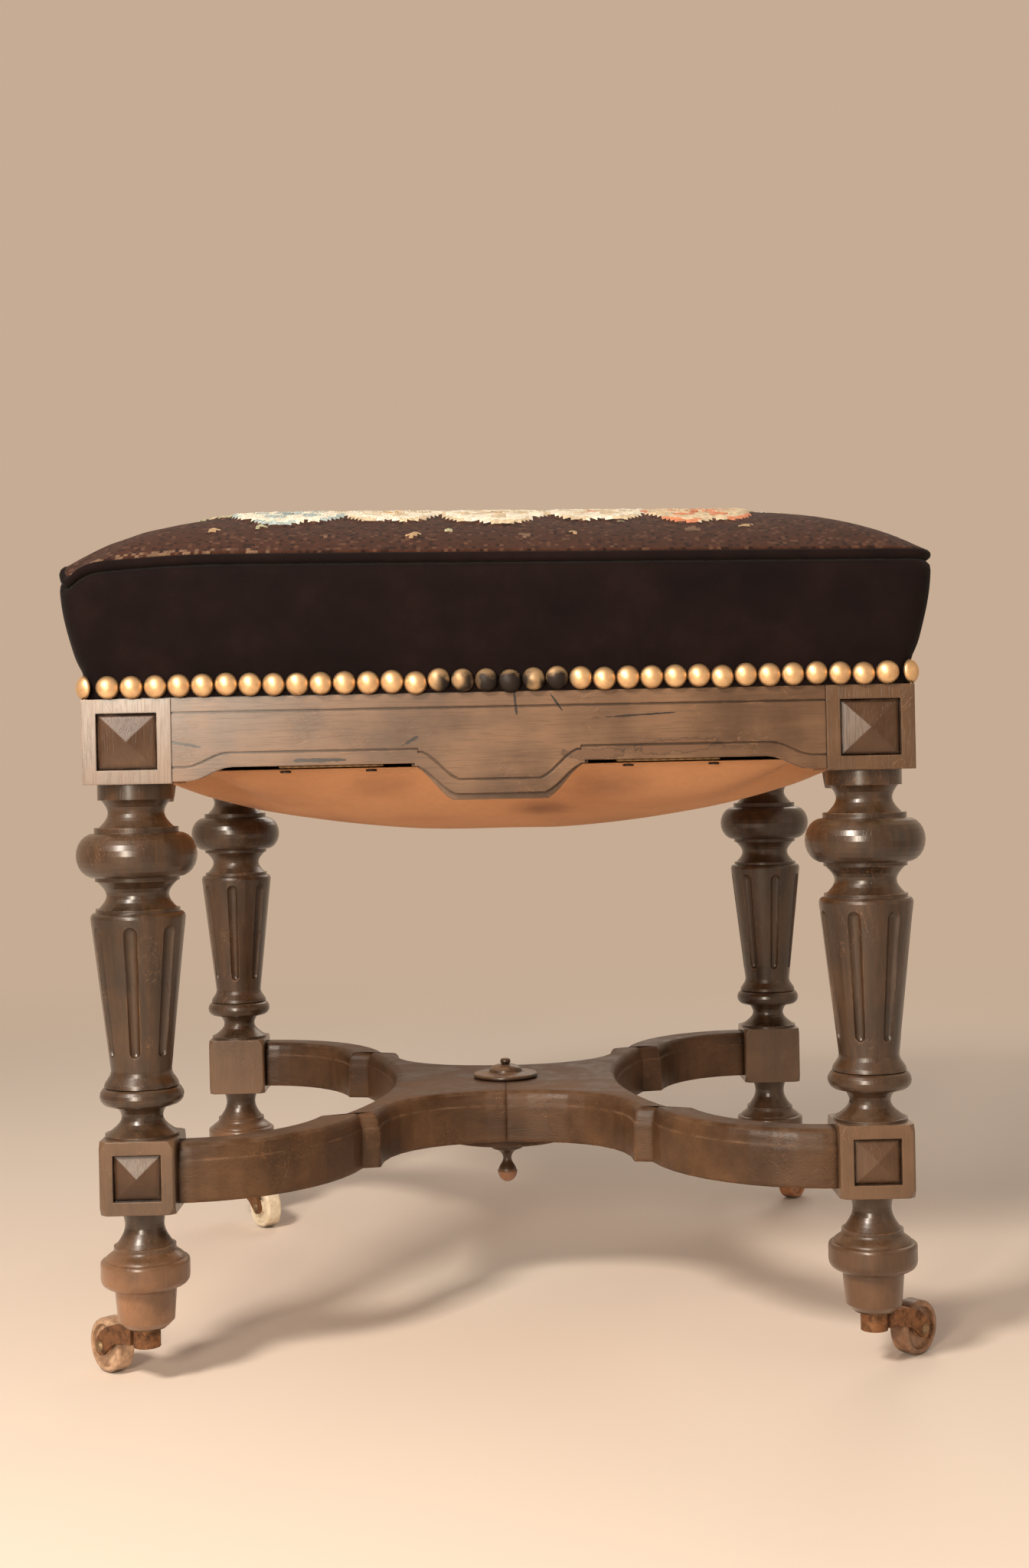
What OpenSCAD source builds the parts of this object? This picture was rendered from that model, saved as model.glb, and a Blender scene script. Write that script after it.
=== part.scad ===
// Square upholstered stool on four turned, fluted legs with swivelling casters.
// Millimetres. The floor is z = 0, the origin is the middle of the stool on the floor,
// the front is -Y, and the left side is -X.

/* [Frame] */
// Width of the frame over the corner blocks
frame_w = 450; // [430:1:480]
// Depth of the frame over the corner blocks
frame_d = 450; // [430:1:480]
// Height of the top edge of the show wood above the floor
wood_top = 377; // [370:1:390]
// Height of the frame that the fabric hides above the show wood
hidden_h = 15; // [12:1:18]
// Depth of the step that the fabric sits in
rebate_d = 3; // [2.8:0.1:3.6]
// Radius of the frame's corners behind the fabric
rebate_r = 12; // [8:1:14]
// Thickness of a seat rail
rail_t = 18; // [15:0.5:20]
// Height of a seat rail
rail_h = 51; // [46:1:56]
// Length of the tenon on each rail's end
rail_tenon_l = 19; // [12:1:20]
// Thickness of the rail's tenon
rail_tenon_t = 8; // [6:0.5:9]
// Shoulder above and below the rail's tenon
rail_tenon_step = 10; // [6:1:14]
// Leg of the glued corner blocks inside the frame, along each rail
corner_leg = 62; // [50:1:75]
// Height of the glued corner blocks
corner_h = 36; // [28:1:40]

/* [Shaped fascia] */
// Thickness of the fascia's front layer
fascia_t = 3.5; // [3:0.1:4]
// Thickness of the backing layer that shows under the tongue
backing_t = 2.5; // [2:0.1:3]
// How far the fascia's face lies behind the corner blocks' faces
fascia_set = 0.8; // [0.6:0.1:1.2]
// Height of the fascia between its end brackets and its tongue
fascia_h = 37.7; // [35:0.1:40]
// How far the end brackets drop below that height
bracket_drop = 7.3; // [4:0.1:9]
// Flat length of an end bracket beside the corner block
bracket_flat = 8; // [4:1:14]
// Length of the curve from the bracket to the plain run
bracket_curve = 24; // [16:1:32]
// Width of the small nick beside the tongue
nick = 2; // [1:0.1:3]
// Height of that nick
nick_h = 1.6; // [1:0.1:2.4]
// How far the middle tongue drops below the plain run
tongue_drop = 16.8; // [12:0.1:19]
// Half width of the tongue where it leaves the plain run
tongue_top = 44; // [38:1:52]
// Half width of the tongue along its lower edge
tongue_low = 24; // [16:1:30]
// How far the backing shows below the tongue
backing_show = 3.5; // [2:0.1:4]
// Width of the incised lines
line_w = 1.2; // [0.8:0.1:1.6]
// Depth of the incised lines
line_d = 0.9; // [0.5:0.1:1.4]
// Distance of the upper line from the top edge
line_top = 8; // [6:0.5:10]
// Distance of the lower line from the shaped edge
line_low = 7.6; // [6:0.1:9]

/* [Corner blocks and diamonds] */
// Side of the square block at the seat rails
top_block = 48; // [46:0.5:52]
// Visible height of that block
top_block_h = 46; // [42:0.5:50]
// Side of the square block at the stretcher
low_block = 41; // [38:0.5:44]
// Height of the block at the stretcher
low_block_h = 40; // [38:0.5:44]
// Height of the lower block's underside above the floor
low_block_z = 97.5; // [94:0.5:100]
// How far the lathe rounds the lower blocks' corners
block_round = 0.8; // [0.4:0.1:1.6]
// How much more its corners lose at the block's top and bottom
block_dub = 1.6; // [0.8:0.1:2.4]
// Height of that dubbed part of a corner
block_dub_h = 4; // [2:0.5:6]
// Wood left round an upper recess
top_border = 7.6; // [6:0.1:9]
// Wood left round a lower recess
low_border = 7.4; // [6:0.1:9]
// Depth of the recesses
recess_d = 2.6; // [1.5:0.1:3.5]
// Height of a diamond point above the floor of its recess
point_h = 4.2; // [3:0.1:5.5]

/* [Turned legs] */
// Radius of the collar under the upper block
collar_r = 20.8; // [19:0.1:22.5]
// Height of that collar
collar_h = 8.5; // [6:0.5:10]
// Smallest radius of the upper cove
cove_r = 15.4; // [14:0.1:18]
// Height of the upper cove
cove_h = 15.1; // [12:0.1:18]
// Radius of the fillet on each side of the big bulb
fillet_r = 23; // [21:0.1:24.5]
// Height of the fillet above the bulb
fillet_h = 2.9; // [2:0.1:4]
// Width of the narrow flats that the gouge leaves beside a hollow
lip = 1; // [0.6:0.1:1.3]
// Largest radius of the bulb
bulb_r = 33; // [29:0.1:35]
// Height of the bulb
bulb_h = 24.5; // [20:0.5:28]
// Height of the thin fillets below the bulb and at the shaft's head
thin_h = 2; // [1.2:0.1:3]
// Smallest radius of the second cove
cove2_r = 17; // [15:0.1:19]
// Height of the second cove
cove2_h = 15.2; // [12:0.1:18]
// Radius of the fluted shaft at its head
shaft_r = 25.9; // [24.5:0.1:27]
// Radius of the fluted shaft at its foot
shaft_low_r = 16.6; // [15.5:0.1:18]
// Height of the round shoulder at the shaft's head
shoulder_h = 3; // [2:0.1:5]
// Number of flutes round the shaft
flutes = 7; // [5:1:9]
// Radius of a flute's hollow at the head
flute_r = 4.4; // [3:0.1:4.8]
// Radius of a flute's hollow at the foot
flute_low_r = 3; // [2:0.1:3.4]
// Depth of the flutes
flute_d = 2.5; // [1.2:0.1:2.8]
// Plain shaft left above the flutes
flute_head = 11; // [9:0.5:15]
// Plain shaft left below the flutes
flute_foot = 11.5; // [6:0.5:14]
// Turn of the flutes about the front left leg's axis
flutes_fl = 90; // [0:1:359]
// Turn of the flutes about the front right leg's axis
flutes_fr = 116; // [0:1:359]
// Turn of the flutes about the back left leg's axis
flutes_bl = 270; // [0:1:359]
// Turn of the flutes about the back right leg's axis
flutes_br = 280; // [0:1:359]
// Radius of the flare below the shaft
flare_r = 20.5; // [19:0.1:22]
// Height of the flare below the shaft
flare_h = 8.2; // [6:0.1:10]
// Radius of the small bead below the flare
bead_r = 23; // [21.5:0.1:25]
// Height of the small bead
bead_h = 10.5; // [8:0.1:12]
// Smallest radius of the neck above the lower block
neck_r = 12.5; // [11:0.1:15]
// Height of that neck
neck_h = 15.5; // [12:0.1:18]
// Radius of the disc on the lower block
disc_r = 20.4; // [18.5:0.1:20.5]
// Height of the disc on the lower block
disc_h = 1.7; // [1.2:0.1:2.5]

/* [Feet] */
// Smallest radius of the neck under the lower block
ankle_r = 10.8; // [10.2:0.1:12.5]
// Height of that neck
ankle_h = 20; // [16:0.5:22]
// Radius of the small ring under the neck
ring_r = 17; // [15.5:0.1:18.5]
// Height of the small ring
ring_h = 2; // [1.5:0.1:3]
// Height of the ogee between the small ring and the foot ring
ogee_h = 5.5; // [4:0.1:7]
// Radius of the broad foot ring
foot_ring_r = 24.4; // [22:0.1:26]
// Height of the broad foot ring
foot_ring_h = 15; // [12:0.5:17]
// Radius of the foot ring's worn lower edge
foot_ring_round = 5; // [3:0.1:7]
// Radius of the foot ring's upper edge
foot_ring_edge = 2; // [1:0.1:3]
// Radius of the foot peg under the ring
peg_r = 17; // [15.5:0.1:18]
// Radius of the foot peg at the caster
peg_low_r = 15.5; // [14:0.1:16.5]
// Height of the chamfer on the peg's lower edge
peg_chamfer = 3; // [1:0.1:4]

/* [Casters] */
// Height of the foot peg's underside above the floor
foot_z = 33; // [32.5:0.1:34.5]
// Diameter of a caster wheel
wheel_d = 30.6; // [28:0.1:31]
// Width of the wheel's tread
wheel_w = 11; // [9:0.5:12]
// Depth of the hollow in each side of the wheel
wheel_dish = 2; // [1:0.1:3]
// Width of the raised rim round that hollow
wheel_rim = 3.2; // [2:0.1:4]
// Radius of the wheel's hub
hub_r = 4.6; // [3.8:0.1:5.5]
// Distance from the swivel pin to the axle
trail = 36; // [31:0.5:40]
// Diameter of the axle rivet
axle_d = 4; // [3:0.1:4.6]
// Diameter of the rivet's heads
rivet_d = 6.4; // [5.5:0.1:7.5]
// Height of the rivet's heads
rivet_h = 1.4; // [1:0.1:2]
// Diameter of the fork's round crown
crown_d = 15; // [13:0.5:17]
// Height of the fork's round crown
crown_h = 10.5; // [9:0.5:11]
// Thickness of the fork's cheeks
cheek_t = 2.2; // [1.6:0.1:2.8]
// Diameter of the fork's eyes
eye_d = 10; // [8.5:0.1:11]
// Height of the fork's cheeks at the crown
cheek_h = 9.6; // [8:0.1:10]
// Diameter of the mounting plate on the foot
plate_d = 22; // [18:0.5:24]
// Thickness of the mounting plate
plate_t = 1.2; // [0.8:0.1:1.5]
// Diameter of the tang in the foot
tang_d = 8; // [7:0.5:9]
// Length of the tang in the foot
tang_l = 34; // [25:1:40]
// Diameter of the swivel pin
pin_d = 6; // [5:0.5:7]
// Diameter of the riveted head below the swivel pin
pin_head_d = 9; // [8:0.5:10]
// Height of that head
pin_head_h = 1.8; // [1.2:0.1:2.2]
// Height of that head above the crown's underside
pin_head_up = 0.4; // [0.2:0.1:1]
// Rest turn of the front left caster about the vertical, from +X
turn_fl = 133; // [0:1:359]
// Rest turn of the front right caster
turn_fr = 42; // [0:1:359]
// Rest turn of the back left caster
turn_bl = 305; // [0:1:359]
// Rest turn of the back right caster
turn_br = 55; // [0:1:359]

/* [Stretcher] */
// Height of the stretcher's underside above the floor
stretcher_z = 102; // [101:0.5:104]
// Height of the stretcher's upright edge
edge_h = 24.5; // [20:0.5:26]
// Height of the moulding above the upright edge
moulding_h = 7.5; // [6:0.5:9]
// How far the moulding steps in to the flat top
moulding_in = 5.4; // [4:0.1:6]
// Width of the small quirk under the moulding
quirk = 0.9; // [0.5:0.1:1.4]
// Width of an arm at its block
arm_w = 24; // [22:0.5:26]
// Width of an arm at its nib
nib_w = 27; // [25:0.5:29]
// Distance of the arm's curve centre inward from the leg, along X
arm_cx = 18; // [14:0.5:22]
// Distance of the arm's curve centre inward from the leg, along Y
arm_cy = 96; // [90:1:100]
// Half width of the front bay at its nibs
bay_w = 75; // [72:0.5:78]
// Distance from the middle to the nibs, along Y
nib_y = 127; // [122:1:132]
// Half length of the seam where the two halves meet
seam_half = 58; // [52:1:64]
// Fullness of the front bay's curve: 2 is an ellipse
bay_power = 2.3; // [2:0.1:3]
// Half width of the waist between the side bays
waist = 74; // [70:1:80]
// Radius of the side bays' shallow curve
side_r = 318; // [280:1:380]
// Width of the facet beside each nib of the front bay
nib_step = 8; // [6:0.5:9]
// Length of the stretcher's tenons
tenon_l = 16; // [10:1:18]
// Width of the stretcher's tenons
tenon_w = 14; // [10:1:17]
// Height of the stretcher's tenons
tenon_h = 18; // [12:1:20]

/* [Turned centre] */
// Diameter of the boss's base on the stretcher
boss_d = 42; // [38:0.5:50]
// Diameter of the boss's dome
boss_dome_d = 22; // [18:0.5:26]
// Height of the boss's base ring
boss_base_h = 3.2; // [2.5:0.1:6]
// Height of the boss's dome
boss_dome_h = 5.4; // [4:0.1:9]
// Height of the button on the dome
boss_button_h = 3.8; // [3:0.1:6]
// Diameter of that button
boss_button_d = 6.8; // [5:0.1:9]
// Height of the step between the boss's base and its dome
boss_step = 1; // [0.5:0.1:1.5]
// Rounding of the turned discs' edges
turned_edge = 1.5; // [1:0.1:2]
// Diameter of the disc under the stretcher
under_d = 84; // [76:1:92]
// Thickness of the disc under the stretcher
under_t = 6.5; // [3:0.1:8]
// Chamfer of that disc's lower edge
under_edge = 1; // [0.5:0.1:1.5]
// Length of the drop under the disc
drop_l = 30; // [26:0.5:34]
// Diameter of the drop's flange
drop_flange_d = 22; // [18:0.5:26]
// Height of the drop's flange
drop_flange_h = 8; // [4:0.5:10]
// Diameter of the drop's neck
drop_neck_d = 5.4; // [4:0.1:7]
// Diameter of the bell below the neck
drop_bell_d = 12; // [9:0.1:13]
// Height of that bell
drop_bell_h = 8; // [6:0.1:10]
// Diameter of the bare ball at the drop's end
drop_ball_d = 13; // [10:0.1:15]
// Height of the half ball that shows below the bell
drop_ball_h = 7.5; // [5:0.1:9]
// Diameter of the pegs that hold the boss and the drop
peg_d = 10; // [8:0.5:12]
// Length of each of those pegs
peg_l = 12; // [8:0.5:13]

/* [Seat] */
// Height of the seam between the side band and the top cover
seam_z = 449; // [446:1:458]
// Height of the seat's crown
crown_z = 486; // [480:0.5:496]
// How far the band swells outward between the frame and the seam
flare = 8.3; // [5:0.1:10]
// Squareness of the dome: a higher number is flatter in the middle
dome_power = 5.2; // [3:0.1:9]
// Drop of the seat's right side and rise of its left one, where the stuffing has moved
dome_lean = 2.5; // [0:0.5:6]
// Corner radius of the band where it meets the wood
band_r = 15; // [14:0.5:18]
// Corner radius of the seat at the seam
seam_r = 12; // [10:1:20]
// Thickness of the fabrics with their wadding
fabric_t = 2.5; // [2:0.1:2.6]
// Radius of the welt in the seam
welt_r = 3; // [2.5:0.1:3.6]
// Sag of the seam at the front left corner
sag_fl = 4; // [0:0.5:16]
// Sag of the seam at the front right corner
sag_fr = 0; // [0:0.5:20]
// Sag of the seam at the back corners
sag_back = 4; // [0:0.5:20]
// How near to the corners the sag stays: a higher number is nearer
sag_power = 150; // [50:5:300]
// Further drop of the seam at the tip of the front left corner
tip_fl = 8; // [0:0.5:10]
// How near to the corner the tip's drop stays
tip_power = 3000; // [800:100:5000]
// Width of the rails' tops that the canvas over the springs covers
canvas_lap = 5; // [2.5:0.5:6]
// Width of that canvas's sloping border
canvas_slope = 55; // [45:1:62]
// Height of the canvas top above the rails
canvas_rise = 40; // [30:1:46]
// Thickness of the canvas
canvas_t = 1; // [0.6:0.1:1.2]

/* [Springs and webbing] */
// Distance of the outer springs from the middle, along X and Y
spring_at = 92; // [80:1:98]
// Radius of a spring at its ends
spring_r = 38; // [32:1:42]
// Radius of a spring at its waist
spring_waist = 24; // [18:1:28]
// Diameter of the spring wire
wire_d = 3.4; // [2.4:0.1:4]
// Turns of a spring
spring_turns = 4.5; // [3.5:0.5:5.5]
// Width of a webbing strap
web_w = 56; // [45:1:62]
// Thickness of the webbing
web_t = 1.5; // [1:0.1:2]

/* [Bottom cloth] */
// Thickness of the cloth
cloth_t = 1.2; // [0.8:0.1:1.6]
// Depth of the cloth's sag below the rails
cloth_sag = 37; // [25:0.5:40]
// Squareness of the sag: a higher number hangs nearer to the rails
cloth_power = 3; // [2:0.5:8]
// Height of the folds that run from the legs
fold_h = 3; // [0:0.5:4]
// Width of the rail that the cloth's edge covers
cloth_lap = 8; // [5:0.5:11]
// Diameter of the cloth tacks' heads
tack_d = 6; // [4:0.5:7]
// Thickness of those heads
tack_head_h = 1; // [0.6:0.1:1.4]
// Diameter of the tacks' shanks
tack_shank_d = 1.6; // [1.2:0.1:2]
// Length of a tack
tack_l = 12; // [8:1:14]
// Distance between the cloth tacks
tack_pitch = 46; // [35:1:60]
// Distance from the legs to the first tack
tack_end = 12; // [8:1:20]

/* [Dome nails] */
// Diameter of a dome nail's head
nail_d = 12.3; // [11.5:0.1:12.6]
// Height of a dome nail's head
nail_h = 4.2; // [2.8:0.1:4.8]
// Gap between neighbouring heads
nail_gap = 0.35; // [0.3:0.05:0.6]
// Diameter of a nail's shank
shank_d = 2; // [1.6:0.1:2.4]
// Length of a nail's shank
shank_l = 12; // [9:0.5:14]

/* [Clearances] */
// Gap round glued tenons
joint_gap = 0.1; // [0.05:0.01:0.2]
// Radial running clearance of the pins and axles
run_gap = 0.06; // [0.04:0.01:0.1]
// Gap between soft pieces and what carries them
soft_gap = 0.3; // [0.2:0.05:0.4]
// Side play of the wheels in their forks and of the swivels
play = 0.4; // [0.3:0.05:0.6]

/* [Hidden] */

leg_x = (frame_w - top_block) / 2;
leg_y = (frame_d - top_block) / 2;
top_block_z = wood_top - top_block_h;
low_block_top = low_block_z + low_block_h;
rail_top = wood_top + hidden_h;
rail_z = rail_top - rail_h;
fascia_face = fascia_set;
rail_face = fascia_set + fascia_t + backing_t;
axle_z = wheel_d / 2;
stretcher_top = stretcher_z + edge_h + moulding_h;
eps = 0.01;

function mix(a, b, t) = a + (b - a) * t;
function reversed(list) = [for (i = [len(list) - 1:-1:0]) list[i]];
function s_curve(t) = 0.5 * t + 0.25 * (1 - cos(180 * t));
function unit(v) = v / norm(v);

// Two triangles for each patch between rings of n points, from ring k to ring next
function band_faces(n, k, next) = [
  for (i = [0:n - 1]) let (j = (i + 1) % n)
    each [[k * n + i, k * n + j, next * n + j], [k * n + i, next * n + j, next * n + i]]
];

// A closed solid through rings of as many points each, from the top outside ring down.
// Rings are counter-clockwise from above, and each end is closed by a fan.
module lofted(rings) {
  n = len(rings[0]);
  last = len(rings) - 1;
  top = n * (last + 1);
  polyhedron(
    concat([for (ring = rings) each ring], [middle(rings[0]), middle(rings[last])]),
    concat([for (i = [0:n - 1]) [top, (i + 1) % n, i]],
           [for (k = [0:last - 1]) each band_faces(n, k, k + 1)],
           [for (i = [0:n - 1]) [top + 1, last * n + i, last * n + (i + 1) % n]]),
    convexity = 8);
}

function middle(ring) = sum(ring) / len(ring);
function sum(list, i = 0) = i == len(list) - 1 ? list[i] : list[i] + sum(list, i + 1);

// A closed ring-shaped solid: the last ring joins the first one.
module lofted_loop(rings) {
  m = len(rings);
  faces = [for (k = [0:m - 1]) each band_faces(len(rings[0]), k, (k + 1) % m)];
  polyhedron([for (ring = rings) each ring], faces, convexity = 8);
}

// Profiles of turned work: lists of [radius, height], from the bottom up
function bead(z0, z1, r_edge, r_max, n = 8) =
  [for (i = [0:n]) let (a = -90 + 180 * i / n)
    [r_edge + (r_max - r_edge) * cos(a), (z0 + z1) / 2 + (z1 - z0) / 2 * sin(a)]];

function cove(z0, r0, z1, r1, r_min, n = 8) =
  [for (i = [0:n]) let (t = i / n, deep = (r0 + r1) / 2 - r_min)
    [mix(r0, r1, t) - deep * sin(180 * t), mix(z0, z1, t)]];

// A straight-sided ring with a round edge of its own above and below
function drum(z0, z1, r, low, high) = concat(
  [for (a = [0:22.5:90]) [r - low * (1 - sin(a)), z0 + low * (1 - cos(a))]],
  [for (a = [0:30:90]) [r - high * (1 - cos(a)), z1 - high * (1 - sin(a))]]
);

function ogee(z0, r0, z1, r1, n = 6) =
  [for (i = [0:n]) let (t = i / n) [mix(r0, r1, (1 - cos(180 * t)) / 2), mix(z0, z1, t)]];

// Heights of the upper turning, from the lower block up and from the upper block down
disc_top = low_block_top + disc_h;
neck_top = disc_top + neck_h;
bead_top = neck_top + bead_h;
flare_top = bead_top + flare_h;
cove_top = top_block_z - collar_h;
fillet_top = cove_top - cove_h;
bulb_top = fillet_top - fillet_h;
bulb_low = bulb_top - bulb_h;
cove2_top = bulb_low - thin_h;
cove2_low = cove2_top - cove2_h;
shaft_top = cove2_low - thin_h;
shaft_cone_top = shaft_top - shoulder_h;

// Heights of the foot, from the lower block down
ankle_low = low_block_z - ankle_h;
ring_low = ankle_low - ring_h;
foot_ring_top = ring_low - ogee_h;
foot_ring_low = foot_ring_top - foot_ring_h;

function upper_turning() = concat(
  [[0, low_block_top - eps], [disc_r, low_block_top - eps], [disc_r, disc_top]],
  cove(disc_top, disc_r - lip, neck_top, neck_r + 2 * lip, neck_r - lip),
  bead(neck_top, bead_top, flare_r - 2.5 * lip, bead_r),
  ogee(bead_top, flare_r, flare_top, shaft_low_r, 4),
  [[shaft_low_r, flare_top + lip], [shaft_r, shaft_cone_top]],
  [for (a = [30:30:90]) [shaft_r - 2.5 * lip * (1 - cos(a)), shaft_cone_top + shoulder_h * sin(a)]],
  [[fillet_r, shaft_top], [fillet_r, cove2_low]],
  cove(cove2_low, fillet_r - 1.5 * lip, cove2_top, fillet_r - lip, cove2_r),
  [[fillet_r, cove2_top], [fillet_r, bulb_low]],
  bead(bulb_low, bulb_top, fillet_r, bulb_r, 12),
  [[fillet_r, bulb_top], [fillet_r, fillet_top]],
  cove(fillet_top, fillet_r - 2.5 * lip, cove_top, collar_r - 2 * lip, cove_r),
  [[collar_r, cove_top], [collar_r, top_block_z + eps], [0, top_block_z + eps]]
);

function foot_turning() = concat(
  [[0, foot_z], [peg_low_r - peg_chamfer, foot_z], [peg_low_r, foot_z + peg_chamfer]],
  [[peg_r, foot_ring_low - lip], [peg_r + 2 * lip, foot_ring_low]],
  drum(foot_ring_low, foot_ring_top, foot_ring_r, foot_ring_round, foot_ring_edge),
  ogee(foot_ring_top, foot_ring_r - 2.4 * lip, ring_low, ring_r),
  [[ring_r, ankle_low]],
  cove(ankle_low, ring_r - lip, low_block_z, ankle_r + 2.4 * lip, ankle_r),
  [[ankle_r + 2.4 * lip, low_block_z + eps], [0, low_block_z + eps]]
);

// Radius of the plain shaft at a height
function shaft_at(z) =
  mix(shaft_low_r, shaft_r, (z - flare_top - lip) / (shaft_cone_top - flare_top - lip));

// One round-ended flute cutter, standing along the tapered shaft
module flute() {
  z0 = flare_top + flute_foot;
  z1 = shaft_top - flute_head;
  x0 = shaft_at(z0) + flute_low_r - flute_d;
  x1 = shaft_at(z1) + flute_r - flute_d;
  long = norm([x1 - x0, z1 - z0]);
  ends = concat(
    [for (a = [-90:22.5:0]) [flute_low_r * cos(a), flute_low_r * sin(a)]],
    [for (a = [0:22.5:90]) [flute_r * cos(a), long + flute_r * sin(a)]]
  );
  translate([x0, 0, z0])
    rotate([0, atan2(x1 - x0, z1 - z0), 0])
      rotate_extrude($fn = 32)
        polygon([for (p = ends) [max(p[0], 0), p[1]]]);
}

// A square block whose corners the lathe has just touched
module turned_block(side, height) {
  r_mid = side / sqrt(2) - block_round;
  r_end = r_mid - block_dub;
  intersection() {
    translate([-side / 2, -side / 2, 0])
      cube([side, side, height]);
    rotate_extrude($fn = 96)
      polygon([[0, 0], [r_end, 0], [r_mid, block_dub_h], [r_mid, height - block_dub_h],
               [r_end, height], [0, height]]);
  }
}

// The recess that a diamond sits in, cut into the +X face of a block
module recess(side, border, height) {
  translate([side / 2 - recess_d, -side / 2 + border, border])
    cube([recess_d + 1, side - 2 * border, height - 2 * border]);
}

// Outline of the frame's hidden corner behind the fabric, about the leg's own axis
function hidden_corner() =
  let (in = -top_block / 2, out = top_block / 2 - rebate_d, c = out - rebate_r)
  concat(
    [[in, in], [out, in]],
    [for (a = [0:15:90]) [c + rebate_r * cos(a), c + rebate_r * sin(a)]],
    [[in, out]]
  );

// The back right leg about its own axis: its outer faces are +X and +Y
module leg_shape(turn) {
  rail_y = top_block / 2 - rail_face - rail_t / 2;
  difference() {
    union() {
      translate([-top_block / 2, -top_block / 2, top_block_z])
        cube([top_block, top_block, top_block_h]);
      translate([0, 0, wood_top - eps])
        linear_extrude(hidden_h + eps)
          polygon(hidden_corner());
      translate([0, 0, low_block_z])
        turned_block(low_block, low_block_h);
      rotate_extrude($fn = 96)
        polygon(upper_turning());
      rotate_extrude($fn = 96)
        polygon(foot_turning());
    }
    for (i = [0:flutes - 1])
      rotate([0, 0, turn + 360 * i / flutes])
        flute();
    for (side = [0, 1]) {
      mirror([side, -side, 0])
        translate([0, 0, top_block_z])
          recess(top_block, top_border, top_block_h);
      mirror([side, -side, 0])
        translate([0, 0, low_block_z])
          recess(low_block, low_border, low_block_h);
      mirror([side, -side, 0])
        translate([-top_block / 2 - 1, rail_y - rail_tenon_t / 2 - joint_gap,
                   rail_z + rail_tenon_step - joint_gap])
          cube([rail_tenon_l + 1 + joint_gap, rail_tenon_t + 2 * joint_gap,
                rail_h - 2 * rail_tenon_step + 2 * joint_gap]);
    }
    translate([-low_block / 2 - 1, -tenon_w / 2 - joint_gap, tenon_z() - joint_gap])
      cube([tenon_l + 1 + joint_gap, tenon_w + 2 * joint_gap, tenon_h + 2 * joint_gap]);
    translate([0, 0, foot_z - 1])
      cylinder(h = tang_l + 1 + soft_gap, d = tang_d + 2 * joint_gap, $fn = 48);
  }
}

function tenon_z() = stretcher_z + (edge_h - tenon_h) / 2;

// Places what is drawn for the back right corner at the corner given by two signs
module at_corner(sx, sy) {
  mirror([sx < 0 ? 1 : 0, 0, 0])
    mirror([0, sy < 0 ? 1 : 0, 0])
      translate([leg_x, leg_y, 0])
        children();
}

module leg(sx, sy, turn) {
  color("#33241c")
    at_corner(sx, sy)
      leg_shape(turn);
}

// Turns what is drawn for the front side to each side of the frame
module on_side(side) {
  rotate([0, 0, [0, 180, -90, 90][side]])
    children();
}

// Half of the clear run between two corner blocks, and the face's distance from the middle
function run_half(side) = (side < 2 ? leg_x : leg_y) - top_block / 2;
function face_at(side) = (side < 2 ? frame_d : frame_w) / 2;

module rail(side) {
  run = run_half(side);
  far = face_at(side) - rail_face;
  color("#8a6a48")
    on_side(side) {
      translate([-run, -far, rail_z])
        cube([2 * run, rail_t, rail_h]);
      for (end = [-1, 1])
        translate([end * (run + rail_tenon_l / 2 - eps / 2), -far + rail_t / 2,
                   rail_z + rail_h / 2])
          cube([rail_tenon_l + eps, rail_tenon_t, rail_h - 2 * rail_tenon_step], center = true);
    }
}

// Right half of the fascia's lower edge, from the corner block to the middle.
// up moves it up, and drop and wide let the tongue grow below and beside.
function shaped_edge(run, up, drop = 0, wide = 0) =
  let (z = wood_top - fascia_h, x1 = run - bracket_flat, x0 = x1 - bracket_curve,
       top_x = tongue_top + wide, low_x = tongue_low + wide, low_z = z - tongue_drop - drop)
  concat(
    [[run, z - bracket_drop + up]],
    [for (i = [0:6]) [mix(x1, x0, i / 6), mix(z - bracket_drop, z, (1 - cos(30 * i)) / 2) + up]],
    [[top_x + nick, z + up], [top_x + nick, z - nick_h + up]],
    [for (i = [0:6]) [mix(top_x, low_x, i / 6), mix(z - nick_h, low_z, s_curve(i / 6)) + up]]
  );

function whole_edge(half) = concat(half, [for (p = reversed(half)) [-p[0], p[1]]]);

// A strip of even width along an open line of points
function stroke(line, w) =
  let (n = len(line), normals = [for (i = [0:n - 1])
    let (d = unit(line[min(i + 1, n - 1)] - line[max(i - 1, 0)])) [-d[1], d[0]] * w / 2])
  concat([for (i = [0:n - 1]) line[i] + normals[i]],
         reversed([for (i = [0:n - 1]) line[i] - normals[i]]));

// Stands a drawing made in the XZ plane upright, with its thickness towards +Y
module upright(thickness) {
  rotate([90, 0, 0])
    translate([0, 0, -thickness])
      linear_extrude(thickness)
        children();
}

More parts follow.
